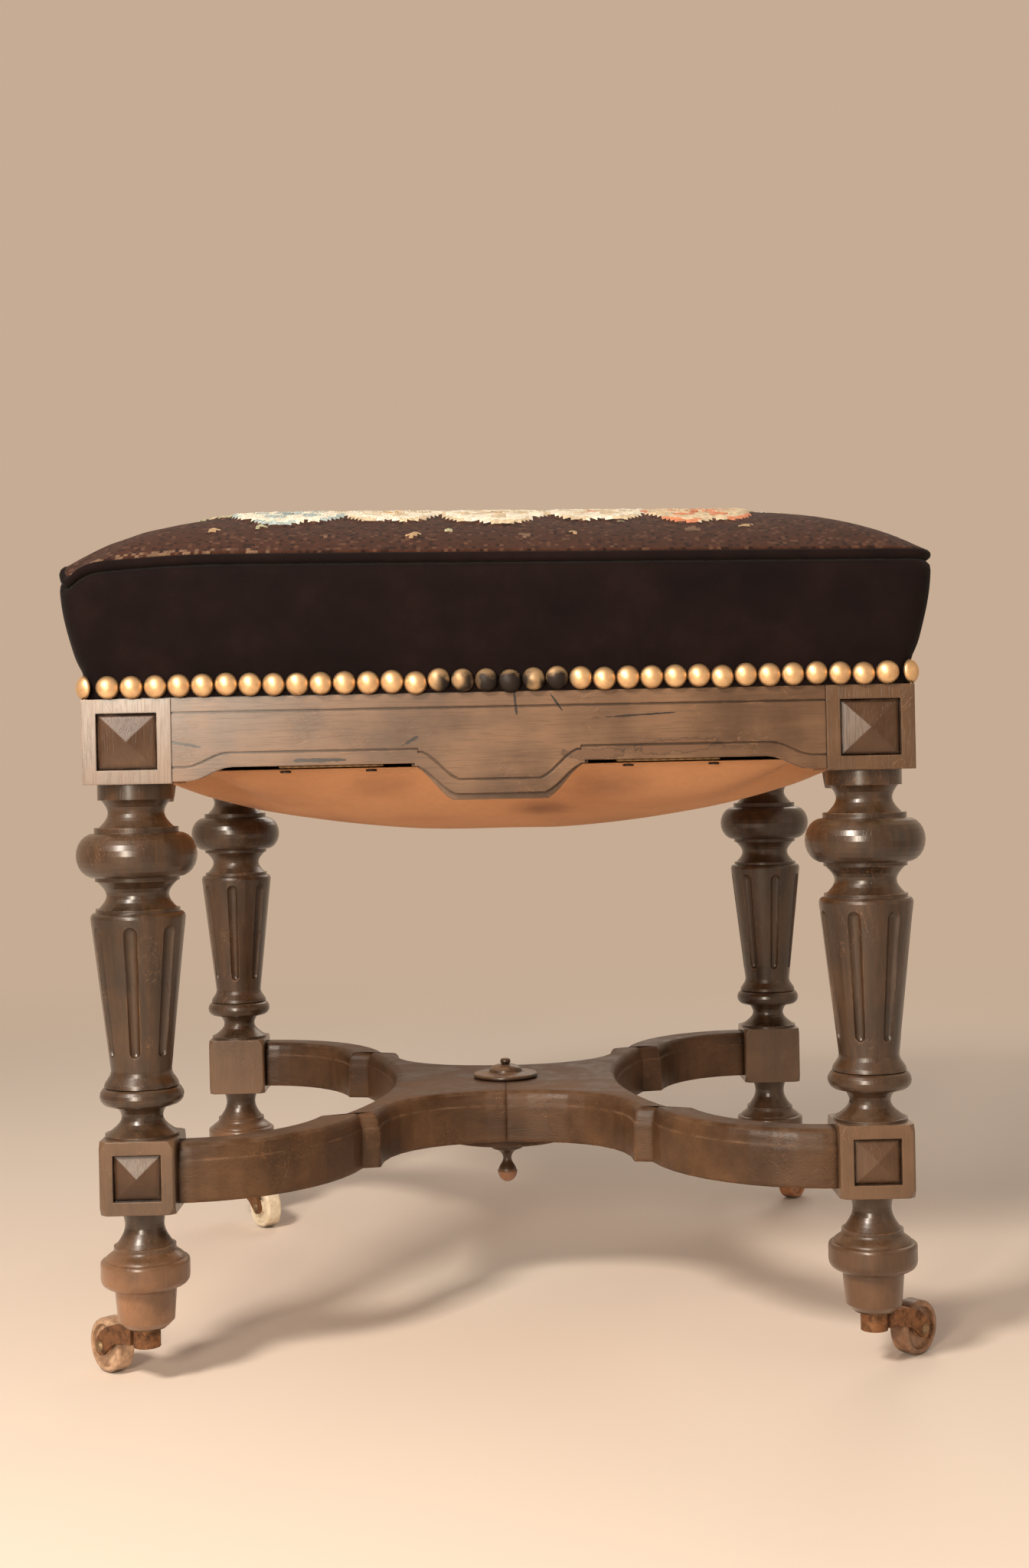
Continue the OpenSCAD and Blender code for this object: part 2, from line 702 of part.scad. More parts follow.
module fascia(side) {
  run = run_half(side) - joint_gap;
  face = -face_at(side) + fascia_face;
  step = face_at(side) - rebate_d;
  color("#3a2a20")
    on_side(side)
      difference() {
        union() {
          translate([0, face, 0])
            upright(fascia_t)
              polygon(concat(whole_edge(shaped_edge(run, 0)),
                             [[-run, rail_top], [run, rail_top]]));
          translate([0, face + fascia_t - eps, 0])
            upright(backing_t + eps)
              polygon(concat(whole_edge(shaped_edge(run, 0, backing_show, backing_show / 2)),
                             [[-run, rail_top], [run, rail_top]]));
        }
        translate([-run - 1, -step - rebate_d - 1, wood_top])
          cube([2 * run + 2, rebate_d + 1, hidden_h + 1]);
        translate([-run - 1, face - 1, wood_top - line_top - line_w / 2])
          cube([2 * run + 2, line_d + 1, line_w]);
        translate([0, face - 1, 0])
          upright(line_d + 1)
            polygon(stroke(whole_edge(shaped_edge(run + 1, line_low, 0, -2)), line_w));
      }
}

// Glued blocks that brace the frame's corners round the legs
module corner_blocks() {
  out_x = frame_w / 2 - rail_face - rail_t - joint_gap;
  out_y = frame_d / 2 - rail_face - rail_t - joint_gap;
  in_x = leg_x - top_block / 2 - joint_gap;
  in_y = leg_y - top_block / 2 - joint_gap;
  color("#9a7a55")
    for (sx = [-1, 1]) for (sy = [-1, 1])
      mirror([sx < 0 ? 1 : 0, 0, 0])
        mirror([0, sy < 0 ? 1 : 0, 0])
          translate([0, 0, rail_z + (rail_h - corner_h) / 2])
            linear_extrude(corner_h)
              polygon([[out_x, out_y - corner_leg], [out_x, in_y], [in_x, in_y],
                       [in_x, out_y], [out_x - corner_leg, out_y]]);
}

// A diamond point on the +X face of a block, with its base on the recess's floor
module diamond(side, border, height) {
  a = side / 2 - border - joint_gap;
  b = height / 2 - border - joint_gap;
  base = [[0, -a, -b], [0, a, -b], [0, a, b], [0, -a, b], [point_h, 0, 0]];
  translate([side / 2 - recess_d, 0, height / 2])
    polyhedron(base, [[0, 3, 2, 1], [0, 1, 4], [1, 2, 4], [2, 3, 4], [3, 0, 4]]);
}

module diamonds(side, border, height, z) {
  color("#2c2018")
    for (sx = [-1, 1]) for (sy = [-1, 1])
      at_corner(sx, sy)
        for (turned = [0, 1])
          mirror([turned, -turned, 0])
            translate([0, 0, z])
              diamond(side, border, height);
}

// Plan of the stretcher's right half. The arm's two edges are quarter ellipses about one centre.
block_in = leg_x - low_block / 2;
arm_x = leg_x - arm_cx;
arm_y = leg_y - arm_cy;
front_a = arm_x - bay_w - nib_step;
front_b = leg_y + arm_w / 2 - arm_y;
side_a = front_a - nib_w;
side_b = front_b - arm_w;
side_cx = waist + side_r;

function ellipse_y(x, a, b) = arm_y + b * sqrt(max(0, 1 - pow((arm_x - x) / a, 2)));
function ellipse_arc(a, b, from, to, n) =
  [for (i = [0:n]) let (t = mix(from, to, i / n)) [arm_x - a * cos(t), arm_y + b * sin(t)]];

// Edge of the back bay, from the block to the seam
function bay_edge() =
  let (t_nib = asin((nib_y + 2 - arm_y) / front_b), deep = nib_y - seam_half)
  concat(
    [[block_in, ellipse_y(block_in, front_a, front_b)]],
    ellipse_arc(front_a, front_b, 84, t_nib, 9),
    [for (i = [0:9]) let (x = bay_w * cos(10 * i))
      [x, nib_y - deep * pow(1 - pow(x / bay_w, bay_power), 1 / bay_power)]]
  );

// Edge of the side bay on its back half, from the block almost to the middle of the waist
function waist_edge() =
  let (t_nib = asin((nib_y - arm_y) / side_b))
  concat(
    [[block_in, ellipse_y(block_in, side_a, side_b)]],
    ellipse_arc(side_a, side_b, 80, t_nib, 9),
    [for (i = [0:9]) let (y = (nib_y - 3) * (1 - i / 10)) [side_cx - sqrt(side_r * side_r - y * y), y]]
  );

// Moves an open edge to its left by d. Its two end points slide along Y alone.
function moved_edge(line, d, end_y) =
  let (n = len(line))
  [for (i = [0:n - 1])
    i == 0 || i == n - 1 ? line[i] + [0, i == 0 ? end_y[0] : end_y[1]] * d :
    let (a = unit(line[i] - line[i - 1]), b = unit(line[i + 1] - line[i]),
         na = [-a[1], a[0]], nb = [-b[1], b[0]])
    line[i] + (na + nb) * d / (1 + na * nb)];

function mirrored_y(line) = [for (p = line) [p[0], -p[1]]];

// The right half's two edges, moved inward by d, from the front block to the back block
function middle_side(d) =
  let (back = moved_edge(bay_edge(), d, [-1, -1]))
  concat(mirrored_y(back), reversed(back));
function outer_side(d) =
  let (half = waist_edge())
  moved_edge(concat(mirrored_y(half), reversed(half)), d, [-1, 1]);

// Inset and height of each step of the moulding, from the underside up
function moulding() = concat(
  [[0, stretcher_z], [0, stretcher_z + edge_h - 1 - quirk], [quirk, stretcher_z + edge_h - 1]],
  [for (i = [0:4]) let (a = 22.5 * i)
    [quirk + (moulding_in - quirk) * (1 - cos(a)), stretcher_z + edge_h + moulding_h * sin(a)]]
);

// Closes the small glue gaps' share at the seam and at the blocks
function set_in(p, z) =
  [p[0] == 0 ? joint_gap : p[0] == block_in ? block_in - joint_gap : p[0], p[1], z];

module stretcher_half() {
  steps = moulding();
  outer = [for (m = steps) outer_side(m[0])];
  inner = [for (m = steps) middle_side(m[0])];
  difference() {
    union() {
      lofted([for (i = [0:len(outer[0]) - 1]) concat(
        [for (k = [0:len(steps) - 1]) set_in(outer[k][i], steps[k][1])],
        [for (k = [len(steps) - 1:-1:0]) set_in(inner[k][i], steps[k][1])]
      )]);
      for (sy = [-1, 1])
        translate([block_in - 1, sy * leg_y - tenon_w / 2, tenon_z()])
          cube([tenon_l + 1, tenon_w, tenon_h]);
    }
    translate([0, 0, stretcher_z - 1])
      cylinder(h = edge_h + moulding_h + 2, d = peg_d + 2 * joint_gap, $fn = 48);
  }
}

module stretcher(sx) {
  color("#35261d")
    mirror([sx < 0 ? 1 : 0, 0, 0])
      stretcher_half();
}

// The boss: a low disc, a small step, a dome and a button
module centre_boss() {
  r = boss_dome_d / 2;
  z1 = stretcher_top + boss_base_h;
  z2 = z1 + boss_dome_h;
  button = boss_button_d / 2;
  color("#3c2b20")
    rotate_extrude($fn = 96)
      polygon(concat(
        [[0, stretcher_top - peg_l], [peg_d / 2, stretcher_top - peg_l], [peg_d / 2, stretcher_top]],
        bead(stretcher_top, z1, boss_d / 2 - turned_edge, boss_d / 2, 6),
        cove(z1, boss_d / 2 - 2 * turned_edge, z1 + boss_step, r + boss_step, r + 2 * boss_step, 4),
        [for (a = [0:15:75]) [mix(r, button * 0.7, 1 - cos(a)), mix(z1 + boss_step, z2, sin(a))]],
        bead(z2, z2 + boss_button_h, button * 0.5, button, 8),
        [[0, z2 + boss_button_h]]
      ));
}

module under_disc() {
  low = stretcher_z - under_t;
  color("#33241c")
    difference() {
      rotate_extrude($fn = 96)
        polygon([[0, low], [under_d / 2 - under_edge, low], [under_d / 2, low + under_edge],
                 [under_d / 2, stretcher_z], [0, stretcher_z]]);
      translate([0, 0, low - 1])
        cylinder(h = under_t + 2, d = peg_d + 2 * joint_gap, $fn = 48);
    }
}

// The drop: a half ball, a bell that narrows to the neck, and a hollow curve out to the flange
module drop_pendant() {
  z0 = stretcher_z - under_t;
  belt = z0 - drop_l + drop_ball_h;
  neck_z = belt + drop_bell_h;
  flange_z = z0 - drop_flange_h;
  neck = drop_neck_d / 2;
  flange = drop_flange_d / 2;
  color("#7a5a3e")
    rotate_extrude($fn = 64)
      polygon(concat(
        [for (a = [0:15:90]) [drop_ball_d / 2 * sin(a), belt - drop_ball_h * cos(a)]],
        ogee(belt, drop_bell_d / 2, neck_z, neck),
        [for (a = [15:15:75]) [mix(flange, neck, cos(a)), mix(neck_z, flange_z, sin(a))]],
        bead(flange_z, z0, flange - turned_edge, flange),
        [[peg_d / 2, z0], [peg_d / 2, z0 + peg_l], [0, z0 + peg_l]]
      ));
}

// Compass directions that every soft ring shares, closer together round the corners
quarter = [0, 16, 30, 38, 41, 43, 43.7, 44.4, 45, 45.6, 46.3, 47, 49, 52, 60, 74];
compass = [for (q = [0:3]) for (a = quarter) q * 90 + a];
seat_x = frame_w / 2;
seat_y = frame_d / 2;
rays = [for (a = compass) unit([seat_x * cos(a), seat_y * sin(a)])];

// Distance along a ray to a rounded rectangle of half sides ax, ay and corner radius c
function reach(ray, ax, ay, c) =
  let (u = [abs(ray[0]), abs(ray[1])], k = [ax - c, ay - c], along = u * k)
  u[0] > 0 && ax * u[1] / u[0] <= k[1] ? ax / u[0] :
  u[1] > 0 && ay * u[0] / u[1] <= k[0] ? ay / u[1] :
  along + sqrt(along * along - k * k + c * c);

// Drop of the seat at the distance x from its middle
function lean_at(x) = dome_lean * x / seat_x;

// Height of the seam along each ray, lowest at the corners
corner_dirs = [for (s = [[-1, -1], [1, -1], [1, 1], [-1, 1]]) unit([s[0] * seat_x, s[1] * seat_y])];
corner_sags = [sag_fl, sag_fr, sag_back, sag_back];
function seam_at(ray) =
  seam_z - tip_fl * pow(max(0, ray * corner_dirs[0]), tip_power)
  - sum([for (i = [0:3]) corner_sags[i] * pow(max(0, ray * corner_dirs[i]), sag_power)])
  - lean_at(ray[0] * reach(ray, seat_x + flare, seat_y + flare, seam_r));

// Outward swell of the band at height z: none where it is nailed, most at the seam
function swell_at(ray, z) = flare * sin(90 * max(0, (z - rail_top) / (seam_at(ray) - rail_top)));

// One ring of the seat's side at the heights zs, one for each ray, moved inward by d
function side_ring(zs, d) =
  [for (i = [0:len(rays) - 1])
    let (ray = rays[i], swell = swell_at(ray, zs[i]),
         c = mix(band_r, seam_r, swell / flare) - d)
    concat(ray * reach(ray, seat_x + swell - d, seat_y + swell - d, c), zs[i])];

// Heights of the band's rings: t is 0 at the wood and 1 at the welt
function band_heights(t) = [for (ray = rays) mix(band_low, seam_at(ray) - welt_r, t)];

// One ring of the dome at the fraction s of the way from the crown to the seam
function dome_ring(s, d, lift) =
  [for (ray = rays)
    let (z0 = seam_at(ray) + lift, edge = pow(s, dome_power),
         p = ray * s * reach(ray, seat_x + flare - d, seat_y + flare - d, seam_r - d))
    concat(p, mix(crown_z - d - lean_at(p[0]), z0, edge))];

dome_steps = [0.08, 0.35, 0.58, 0.73, 0.84, 0.91, 0.96, 0.985, 1];
band_steps = [1, 0.8, 0.6, 0.4, 0.2, 0];
band_low = wood_top + soft_gap;
stuff_d = fabric_t + soft_gap;

module tapestry_cover() {
  color("#4a3428")
    lofted(concat(
      [for (s = dome_steps) dome_ring(s, 0, welt_r)],
      [for (s = reversed(dome_steps)) dome_ring(s, fabric_t, welt_r)]
    ));
}

module velvet_band() {
  color("#3a1f16")
    lofted_loop(concat(
      [for (t = band_steps) side_ring(band_heights(t), 0)],
      [for (t = reversed(band_steps)) side_ring(band_heights(t), fabric_t)]
    ));
}

// The welt is one tube round the seam
module welt() {
  sides = 6;
  out = welt_r - soft_gap;
  color("#2c1710")
    lofted_loop([for (k = [0:sides - 1])
      let (a = 90 - 360 * k / sides)
      [for (ray = rays)
        let (r = reach(ray, seat_x + flare, seat_y + flare, seam_r) + out * cos(a) + soft_gap)
        concat(ray * r, seam_at(ray) + out * sin(a))]]);
}

// The canvas is a low tray upside down over the springs, tacked to the rails
canvas_z = rail_top + soft_gap;
canvas_low = [seat_x, seat_y] + [1, 1] * (canvas_lap - rail_face - rail_t);
canvas_top = canvas_low - [1, 1] * canvas_slope;
function square_ring(half, z) =
  [for (ray = rays) concat(ray * reach(ray, half[0], half[1], eps), z)];

module spring_canvas() {
  t = [1, 1] * canvas_t;
  color("#b79a72")
    lofted([
      square_ring(canvas_top, canvas_z + canvas_rise),
      square_ring(canvas_low, canvas_z + canvas_t),
      square_ring(canvas_low, canvas_z),
      square_ring(canvas_low - 2 * t, canvas_z),
      square_ring(canvas_top - t / 2, canvas_z + canvas_rise - canvas_t)
    ]);
}

module stuffing() {
  g = [1, 1] * soft_gap;
  z0 = canvas_z + canvas_t + soft_gap / 2;
  color("#8d7350")
    lofted(concat(
      [for (s = dome_steps) dome_ring(s, stuff_d, 0)],
      [for (t = [1, 0.8, 0.6, 0.4]) side_ring(band_heights(t), stuff_d)],
      [side_ring([for (ray = rays) canvas_z], stuff_d)],
      [square_ring(canvas_low + g, canvas_z),
       square_ring(canvas_low + g, z0),
       square_ring(canvas_top + g, canvas_z + canvas_rise + soft_gap)]
    ));
}

// Straps nailed under the rails: those along X lie on those along Y, whose ends are turned over
module webbing() {
  places = [-spring_at, 0, spring_at];
  end_x = frame_w / 2 - rail_face - 2;
  end_y = frame_d / 2 - rail_face - 2;
  color("#a98c63")
    for (p = places) {
      translate([-end_x, p - web_w / 2, rail_z - web_t])
        cube([2 * end_x, web_w, web_t]);
      translate([p - web_w / 2, -end_y, rail_z - 2 * web_t])
        cube([web_w, 2 * end_y, web_t]);
      for (sy = [-1, 1])
        translate([p - web_w / 2, sy * (end_y - rail_t / 2) - rail_t / 2, rail_z - web_t - eps])
          cube([web_w, rail_t, web_t + eps]);
    }
}

// One spring as a single unbroken wire, wide at both ends
spring_low = rail_z + soft_gap;
spring_top = canvas_z + canvas_rise - canvas_t - soft_gap;
module spring() {
  sides = 5;
  per_turn = 9;
  n = round(spring_turns * per_turn);
  rise = spring_top - spring_low - wire_d;
  color("#5d5a55")
    lofted([for (i = [n:-1:0])
      let (t = i / n, a = 360 * i / per_turn,
           r = mix(spring_waist, spring_r, pow(abs(2 * t - 1), 1.5)),
           lift = rise * (t + 0.06 * sin(360 * t)),
           c = [r * cos(a), r * sin(a), spring_low + wire_d / 2 + lift])
      [for (k = [0:sides - 1])
        let (b = -360 * k / sides)
        c + wire_d / 2 * [cos(a) * cos(b), sin(a) * cos(b), sin(b)]]]);
}

module seat_springs() {
  for (p = [[0, 0], [-1, -1], [1, -1], [1, 1], [-1, 1]])
    translate([p[0] * spring_at, p[1] * spring_at, 0])
      spring();
}

// The cloth hangs under the rails, cut back round the legs
cloth_z = rail_z - 2 * web_t - soft_gap;
cloth_half_x = frame_w / 2 - rail_face - rail_t + cloth_lap;
cloth_half_y = frame_d / 2 - rail_face - rail_t + cloth_lap;
cloth_in_x = leg_x - top_block / 2 - 5;
cloth_in_y = leg_y - top_block / 2 - 5;
function cloth_reach(ray) =
  let (u = [abs(ray[0]), abs(ray[1])])
  min(u[0] > 0 ? cloth_half_x / u[0] : 1e6, u[1] > 0 ? cloth_half_y / u[1] : 1e6,
      max(cloth_in_x / max(u[0], eps), cloth_in_y / max(u[1], eps)));

function cloth_ring(s, down) =
  [for (i = [0:len(rays) - 1])
    let (ray = rays[i], deep = max(0, 1 - s / cloth_flat),
         fold = fold_h * sin(8 * compass[i]) * 4 * s * s * deep)
    concat(ray * cloth_reach(ray) * s,
           cloth_z - down - cloth_sag * (1 - pow(min(1, s / cloth_flat), cloth_power)) + fold)];

// The cloth lies flat where it is tacked under the rails, and sags inside them
cloth_flat = 1 - cloth_lap / cloth_half_x;
cloth_steps = [for (s = [0.1, 0.3, 0.48, 0.62, 0.74, 0.84, 0.92, 1]) s * cloth_flat, 1];
module bottom_cloth() {
  color("#b08a63")
    lofted(concat(
      [for (s = cloth_steps) cloth_ring(s, 0)],
      [for (s = reversed(cloth_steps)) cloth_ring(s, cloth_t)]
    ));
}

// Flat-headed tacks through the cloth's edge into the rails
module cloth_tacks() {
  for (side = [0:3]) {
    run = run_half(side) - tack_end;
    n = round(2 * run / tack_pitch);
    far = face_at(side) - rail_face - rail_t + cloth_lap / 2;
    color("#2b2b2b")
      on_side(side)
        for (i = [0:n])
          translate([mix(-run, run, i / n), -far, 0]) {
            translate([0, 0, cloth_z - cloth_t - tack_head_h])
              cylinder(h = tack_head_h, d = tack_d, $fn = 24);
            translate([0, 0, cloth_z - cloth_t - eps])
              cylinder(h = tack_l, d = tack_shank_d, $fn = 16);
          }
  }
}

// The nails stand side by side round the lower edge of the band
nail_z = wood_top + nail_d / 2 + soft_gap;
straight_x = 2 * (seat_x - band_r);
straight_y = 2 * (seat_y - band_r);
bend = 90 * band_r * PI / 180;
nail_path = 2 * straight_x + 2 * straight_y + 4 * bend;
nail_count = floor(nail_path / (nail_d + nail_gap));

// Turn of the outward normal, and place, at the distance s along the path from the front's left
function nail_spot(s, side = 0) =
  let (run = side % 2 == 0 ? straight_x : straight_y)
  s < run ? side_spot(side, s - run / 2) :
  s < run + bend ? bend_spot(side, 90 * (s - run) / bend) :
  nail_spot(s - run - bend, side + 1);
function turned_xy(p, a) = [p[0] * cos(a) - p[1] * sin(a), p[0] * sin(a) + p[1] * cos(a)];
function side_spot(side, along) =
  let (far = side % 2 == 0 ? seat_y : seat_x)
  concat(turned_xy([along, -far], 90 * side), 90 * side);
function bend_spot(side, a) =
  let (hx = side % 2 == 0 ? seat_x : seat_y, hy = side % 2 == 0 ? seat_y : seat_x,
       c = [hx - band_r, -hy + band_r])
  concat(turned_xy(c + band_r * [sin(a), -cos(a)], 90 * side), 90 * side + a);

// A nail's head is the cap of a ball, so its rim meets the cloth at the head's full width
module dome_nail() {
  r = nail_d / 2;
  ball = (r * r + nail_h * nail_h) / (2 * nail_h);
  rotate([90, 0, 0]) {
    difference() {
      translate([0, 0, nail_h - ball])
        sphere(ball, $fn = 48);
      translate([0, 0, -ball])
        cube(2 * ball, center = true);
    }
    translate([0, 0, -shank_l])
      cylinder(h = shank_l + nail_h / 2, d = shank_d, $fn = 24);
  }
}

module dome_nails() {
  color("#b98a3e")
    for (i = [0:nail_count - 1]) {
      spot = nail_spot((i + 0.5) * nail_path / nail_count);
      translate([spot[0], spot[1], nail_z])
        rotate([0, 0, spot[2]])
          dome_nail();
    }
}

// One caster about its swivel pin, with its wheel trailing towards +X
plate_z = foot_z - plate_t;
crown_top = plate_z - play / 2;
crown_low = crown_top - crown_h;
fork_gap = wheel_w + 2 * play;
head_z = crown_low + pin_head_up;

module caster_plate() {
  color("#6f6250")
    rotate_extrude($fn = 64)
      polygon([
        [0, head_z], [pin_head_d / 2, head_z],
        [pin_head_d / 2, head_z + pin_head_h], [pin_d / 2, head_z + pin_head_h],
        [pin_d / 2, plate_z], [plate_d / 2, plate_z], [plate_d / 2, foot_z],
        [tang_d / 2, foot_z], [tang_d / 2, foot_z + tang_l - 4], [1, foot_z + tang_l],
        [0, foot_z + tang_l]
      ]);
}

// Side view of one cheek: a bar that curves down from the crown to the eye at the axle
function cheek_outline() =
  let (x0 = crown_d / 2 - 3, z0 = crown_top, z1 = crown_top - cheek_h, e = eye_d / 2)
  concat(
    [[x0, z1], [x0, z0]],
    [for (i = [0:6]) let (a = 90 - 15 * i)
      [mix(x0 + 3, trail, cos(a)) + e * cos(a) * 0.9, mix(axle_z, z0, sin(a))]],
    [[trail, axle_z - e], [trail - e * 0.7, axle_z - e * 0.7]],
    [for (i = [1:4]) [mix(trail - e, x0 + 3, i / 4), mix(axle_z, z1, sin(22.5 * i))]]
  );

module caster_fork() {
  half = fork_gap / 2 + cheek_t;
  color("#a67c3d")
    difference() {
      union() {
        translate([0, 0, crown_low])
          cylinder(h = crown_h, d = crown_d, $fn = 64);
        intersection() {
          translate([0, half, 0])
            rotate([90, 0, 0])
              linear_extrude(2 * half)
                polygon(cheek_outline());
          translate([0, -half, 0])
            cube([trail + eye_d, 2 * half, foot_z]);
        }
        for (s = [-1, 1])
          translate([trail, s * (half - cheek_t / 2), axle_z])
            rotate([90, 0, 0])
              cylinder(h = cheek_t, d = eye_d, center = true, $fn = 48);
      }
      translate([trail, 0, axle_z])
        rotate([90, 0, 0])
          cylinder(h = fork_gap, d = wheel_d + 2 * 1.2, center = true, $fn = 96);
      translate([0, 0, crown_low - 1])
        cylinder(h = crown_h + 2, d = pin_d + 2 * run_gap, $fn = 48);
      translate([0, 0, crown_low - 1])
        cylinder(h = 1 + pin_head_up + pin_head_h + play / 2, d = pin_head_d + 1, $fn = 48);
      translate([trail, 0, axle_z])
        rotate([90, 0, 0])
          cylinder(h = 2 * half + 2, d = axle_d + 2 * joint_gap, center = true, $fn = 48);
    }
}

module caster_wheel(shade) {
  r = wheel_d / 2;
  w = wheel_w / 2;
  side = [[axle_d / 2 + run_gap, w], [hub_r, w], [hub_r + 0.6, w - wheel_dish],
          [r - wheel_rim - 0.6, w - wheel_dish], [r - wheel_rim, w]];
  color(shade)
    translate([trail, 0, axle_z])
      rotate([90, 0, 0])
        rotate_extrude($fn = 96)
          polygon(concat(side, [[r - 1.4, w]], [[r - 0.4, w - 0.6]],
                         [[r, w - 1.6], [r, -w + 1.6]],
                         [[r - 0.4, -w + 0.6], [r - 1.4, -w]],
                         [for (p = reversed(side)) [p[0], -p[1]]]));
}

module caster_axle() {
  half = fork_gap / 2 + cheek_t;
  r = rivet_d / 2;
  head = [[axle_d / 2, half], [r, half], [r, half + 0.2 * rivet_h], [0.6 * r, half + rivet_h],
          [0, half + rivet_h]];
  color("#8d7a5a")
    translate([trail, 0, axle_z])
      rotate([90, 0, 0])
        rotate_extrude($fn = 48)
          polygon(concat(head, [for (p = reversed(head)) [p[0], -p[1]]]));
}

// Places a caster part under the leg at the corner given by two signs
module at_caster(sx, sy, turn) {
  translate([sx * leg_x, sy * leg_y, 0])
    rotate([0, 0, turn])
      children();
}

leg(-1, -1, flutes_fl);  // leg_front_left
leg(1, -1, flutes_fr);  // leg_front_right
leg(-1, 1, flutes_bl);  // leg_back_left
leg(1, 1, flutes_br);  // leg_back_right
rail(0);  // rail_front
rail(1);  // rail_back
rail(2);  // rail_left
rail(3);  // rail_right
fascia(0);  // fascia_front
fascia(1);  // fascia_back
fascia(2);  // fascia_left
fascia(3);  // fascia_right
corner_blocks();
diamonds(top_block, top_border, top_block_h, top_block_z);  // diamonds_upper
diamonds(low_block, low_border, low_block_h, low_block_z);  // diamonds_lower
stretcher(-1);  // stretcher_left
stretcher(1);  // stretcher_right
centre_boss();
under_disc();
drop_pendant();
webbing();
seat_springs();
spring_canvas();
stuffing();
tapestry_cover();
velvet_band();
welt();
dome_nails();
bottom_cloth();
cloth_tacks();
at_caster(-1, -1, turn_fl) caster_plate();  // caster_plate_fl
at_caster(-1, -1, turn_fl) caster_fork();  // caster_fork_fl
at_caster(-1, -1, turn_fl) caster_wheel("#4a3225");  // caster_wheel_fl
at_caster(-1, -1, turn_fl) caster_axle();  // caster_axle_fl
at_caster(1, -1, turn_fr) caster_plate();  // caster_plate_fr
at_caster(1, -1, turn_fr) caster_fork();  // caster_fork_fr
at_caster(1, -1, turn_fr) caster_wheel("#4a3225");  // caster_wheel_fr
at_caster(1, -1, turn_fr) caster_axle();  // caster_axle_fr
at_caster(-1, 1, turn_bl) caster_plate();  // caster_plate_bl
at_caster(-1, 1, turn_bl) caster_fork();  // caster_fork_bl
at_caster(-1, 1, turn_bl) caster_wheel("#d8cdb8");  // caster_wheel_bl
at_caster(-1, 1, turn_bl) caster_axle();  // caster_axle_bl
at_caster(1, 1, turn_br) caster_plate();  // caster_plate_br
at_caster(1, 1, turn_br) caster_fork();  // caster_fork_br
at_caster(1, 1, turn_br) caster_wheel("#8a5630");  // caster_wheel_br
at_caster(1, 1, turn_br) caster_axle();  // caster_axle_br
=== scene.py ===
# %% [markdown]
# # A sprung stool with a needlework top
# The stool has a frame of turned and moulded wood, stained black and worn brown, with a domed,
# upholstered seat and four small casters. The rigid pieces arrive as finished solids in real
# metres. This lesson dresses them: it makes the soft pieces afresh as cloth and padding, and gives
# every surface a finish that is worked out by shader nodes.

# %% Load the solids and keep their box
import math

import bmesh
import bpy
import numpy as np
from mathutils import Matrix, Vector, noise
from mathutils.bvhtree import BVHTree


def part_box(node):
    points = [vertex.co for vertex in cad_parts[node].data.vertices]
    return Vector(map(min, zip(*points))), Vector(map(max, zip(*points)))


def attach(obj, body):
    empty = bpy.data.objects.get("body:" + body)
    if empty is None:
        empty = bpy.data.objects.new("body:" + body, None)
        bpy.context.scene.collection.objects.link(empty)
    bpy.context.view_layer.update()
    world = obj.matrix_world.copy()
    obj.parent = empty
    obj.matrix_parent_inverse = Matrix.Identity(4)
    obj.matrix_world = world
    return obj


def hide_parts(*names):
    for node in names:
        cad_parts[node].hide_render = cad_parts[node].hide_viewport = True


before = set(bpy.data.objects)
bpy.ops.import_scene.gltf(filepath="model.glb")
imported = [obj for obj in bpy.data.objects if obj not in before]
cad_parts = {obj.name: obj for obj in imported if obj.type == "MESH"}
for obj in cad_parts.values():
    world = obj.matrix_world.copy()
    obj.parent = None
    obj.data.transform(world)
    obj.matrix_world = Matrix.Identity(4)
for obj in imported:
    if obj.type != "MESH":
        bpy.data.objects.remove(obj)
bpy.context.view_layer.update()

# %% [markdown]
# ## The camera
# The photograph was taken from low down, a little below the seat, so the dome is seen edge-on and
# the stretcher from above. The numbers below were found by fitting the leg axes and the rings of
# the turnings. Blender's lens is given on a 36 mm sensor that spans the longer side of the image.

# %% Set the camera
MM = 0.001
IMAGE_LONG = 2048
FOCAL_PIXELS = 2524
SENSOR = 36.0
EYE = Vector((-0.002, -1.268, 0.331))
YAW, PITCH, ROLL = (math.radians(a) for a in (0.53, -0.22, -1.17))

forward = Vector((math.sin(YAW) * math.cos(PITCH), math.cos(YAW) * math.cos(PITCH), math.sin(PITCH)))
level_right = Vector((math.cos(YAW), -math.sin(YAW), 0))
level_up = level_right.cross(forward)
right = level_right * math.cos(ROLL) + level_up * math.sin(ROLL)
up = level_up * math.cos(ROLL) - level_right * math.sin(ROLL)

camera = bpy.data.objects.new("camera", bpy.data.cameras.new("camera"))
bpy.context.collection.objects.link(camera)
camera.data.sensor_width = SENSOR
camera.data.lens = FOCAL_PIXELS / IMAGE_LONG * SENSOR
camera.matrix_world = Matrix.Translation(EYE) @ Matrix((right, up, -forward)).transposed().to_4x4()
bpy.context.scene.camera = camera
print("lens", round(camera.data.lens, 1), "mm")

# %% [markdown]
# ## Helpers for shaders
# A finish here is a small network of nodes. Writing one out by hand takes many lines, so a helper
# adds a node and joins or sets its inputs in one call. Colours are written as they look, on the
# usual scale of 0 to 255, and turned into the linear values that the renderer works with.

# %% Node helpers
def shade(red, green, blue):
    """A colour as it looks, 0 to 255, as a linear RGBA colour."""
    linear = [c / 12.92 if c <= 0.04045 else ((c + 0.055) / 1.055) ** 2.4
              for c in (red / 255, green / 255, blue / 255)]
    return (*linear, 1.0)


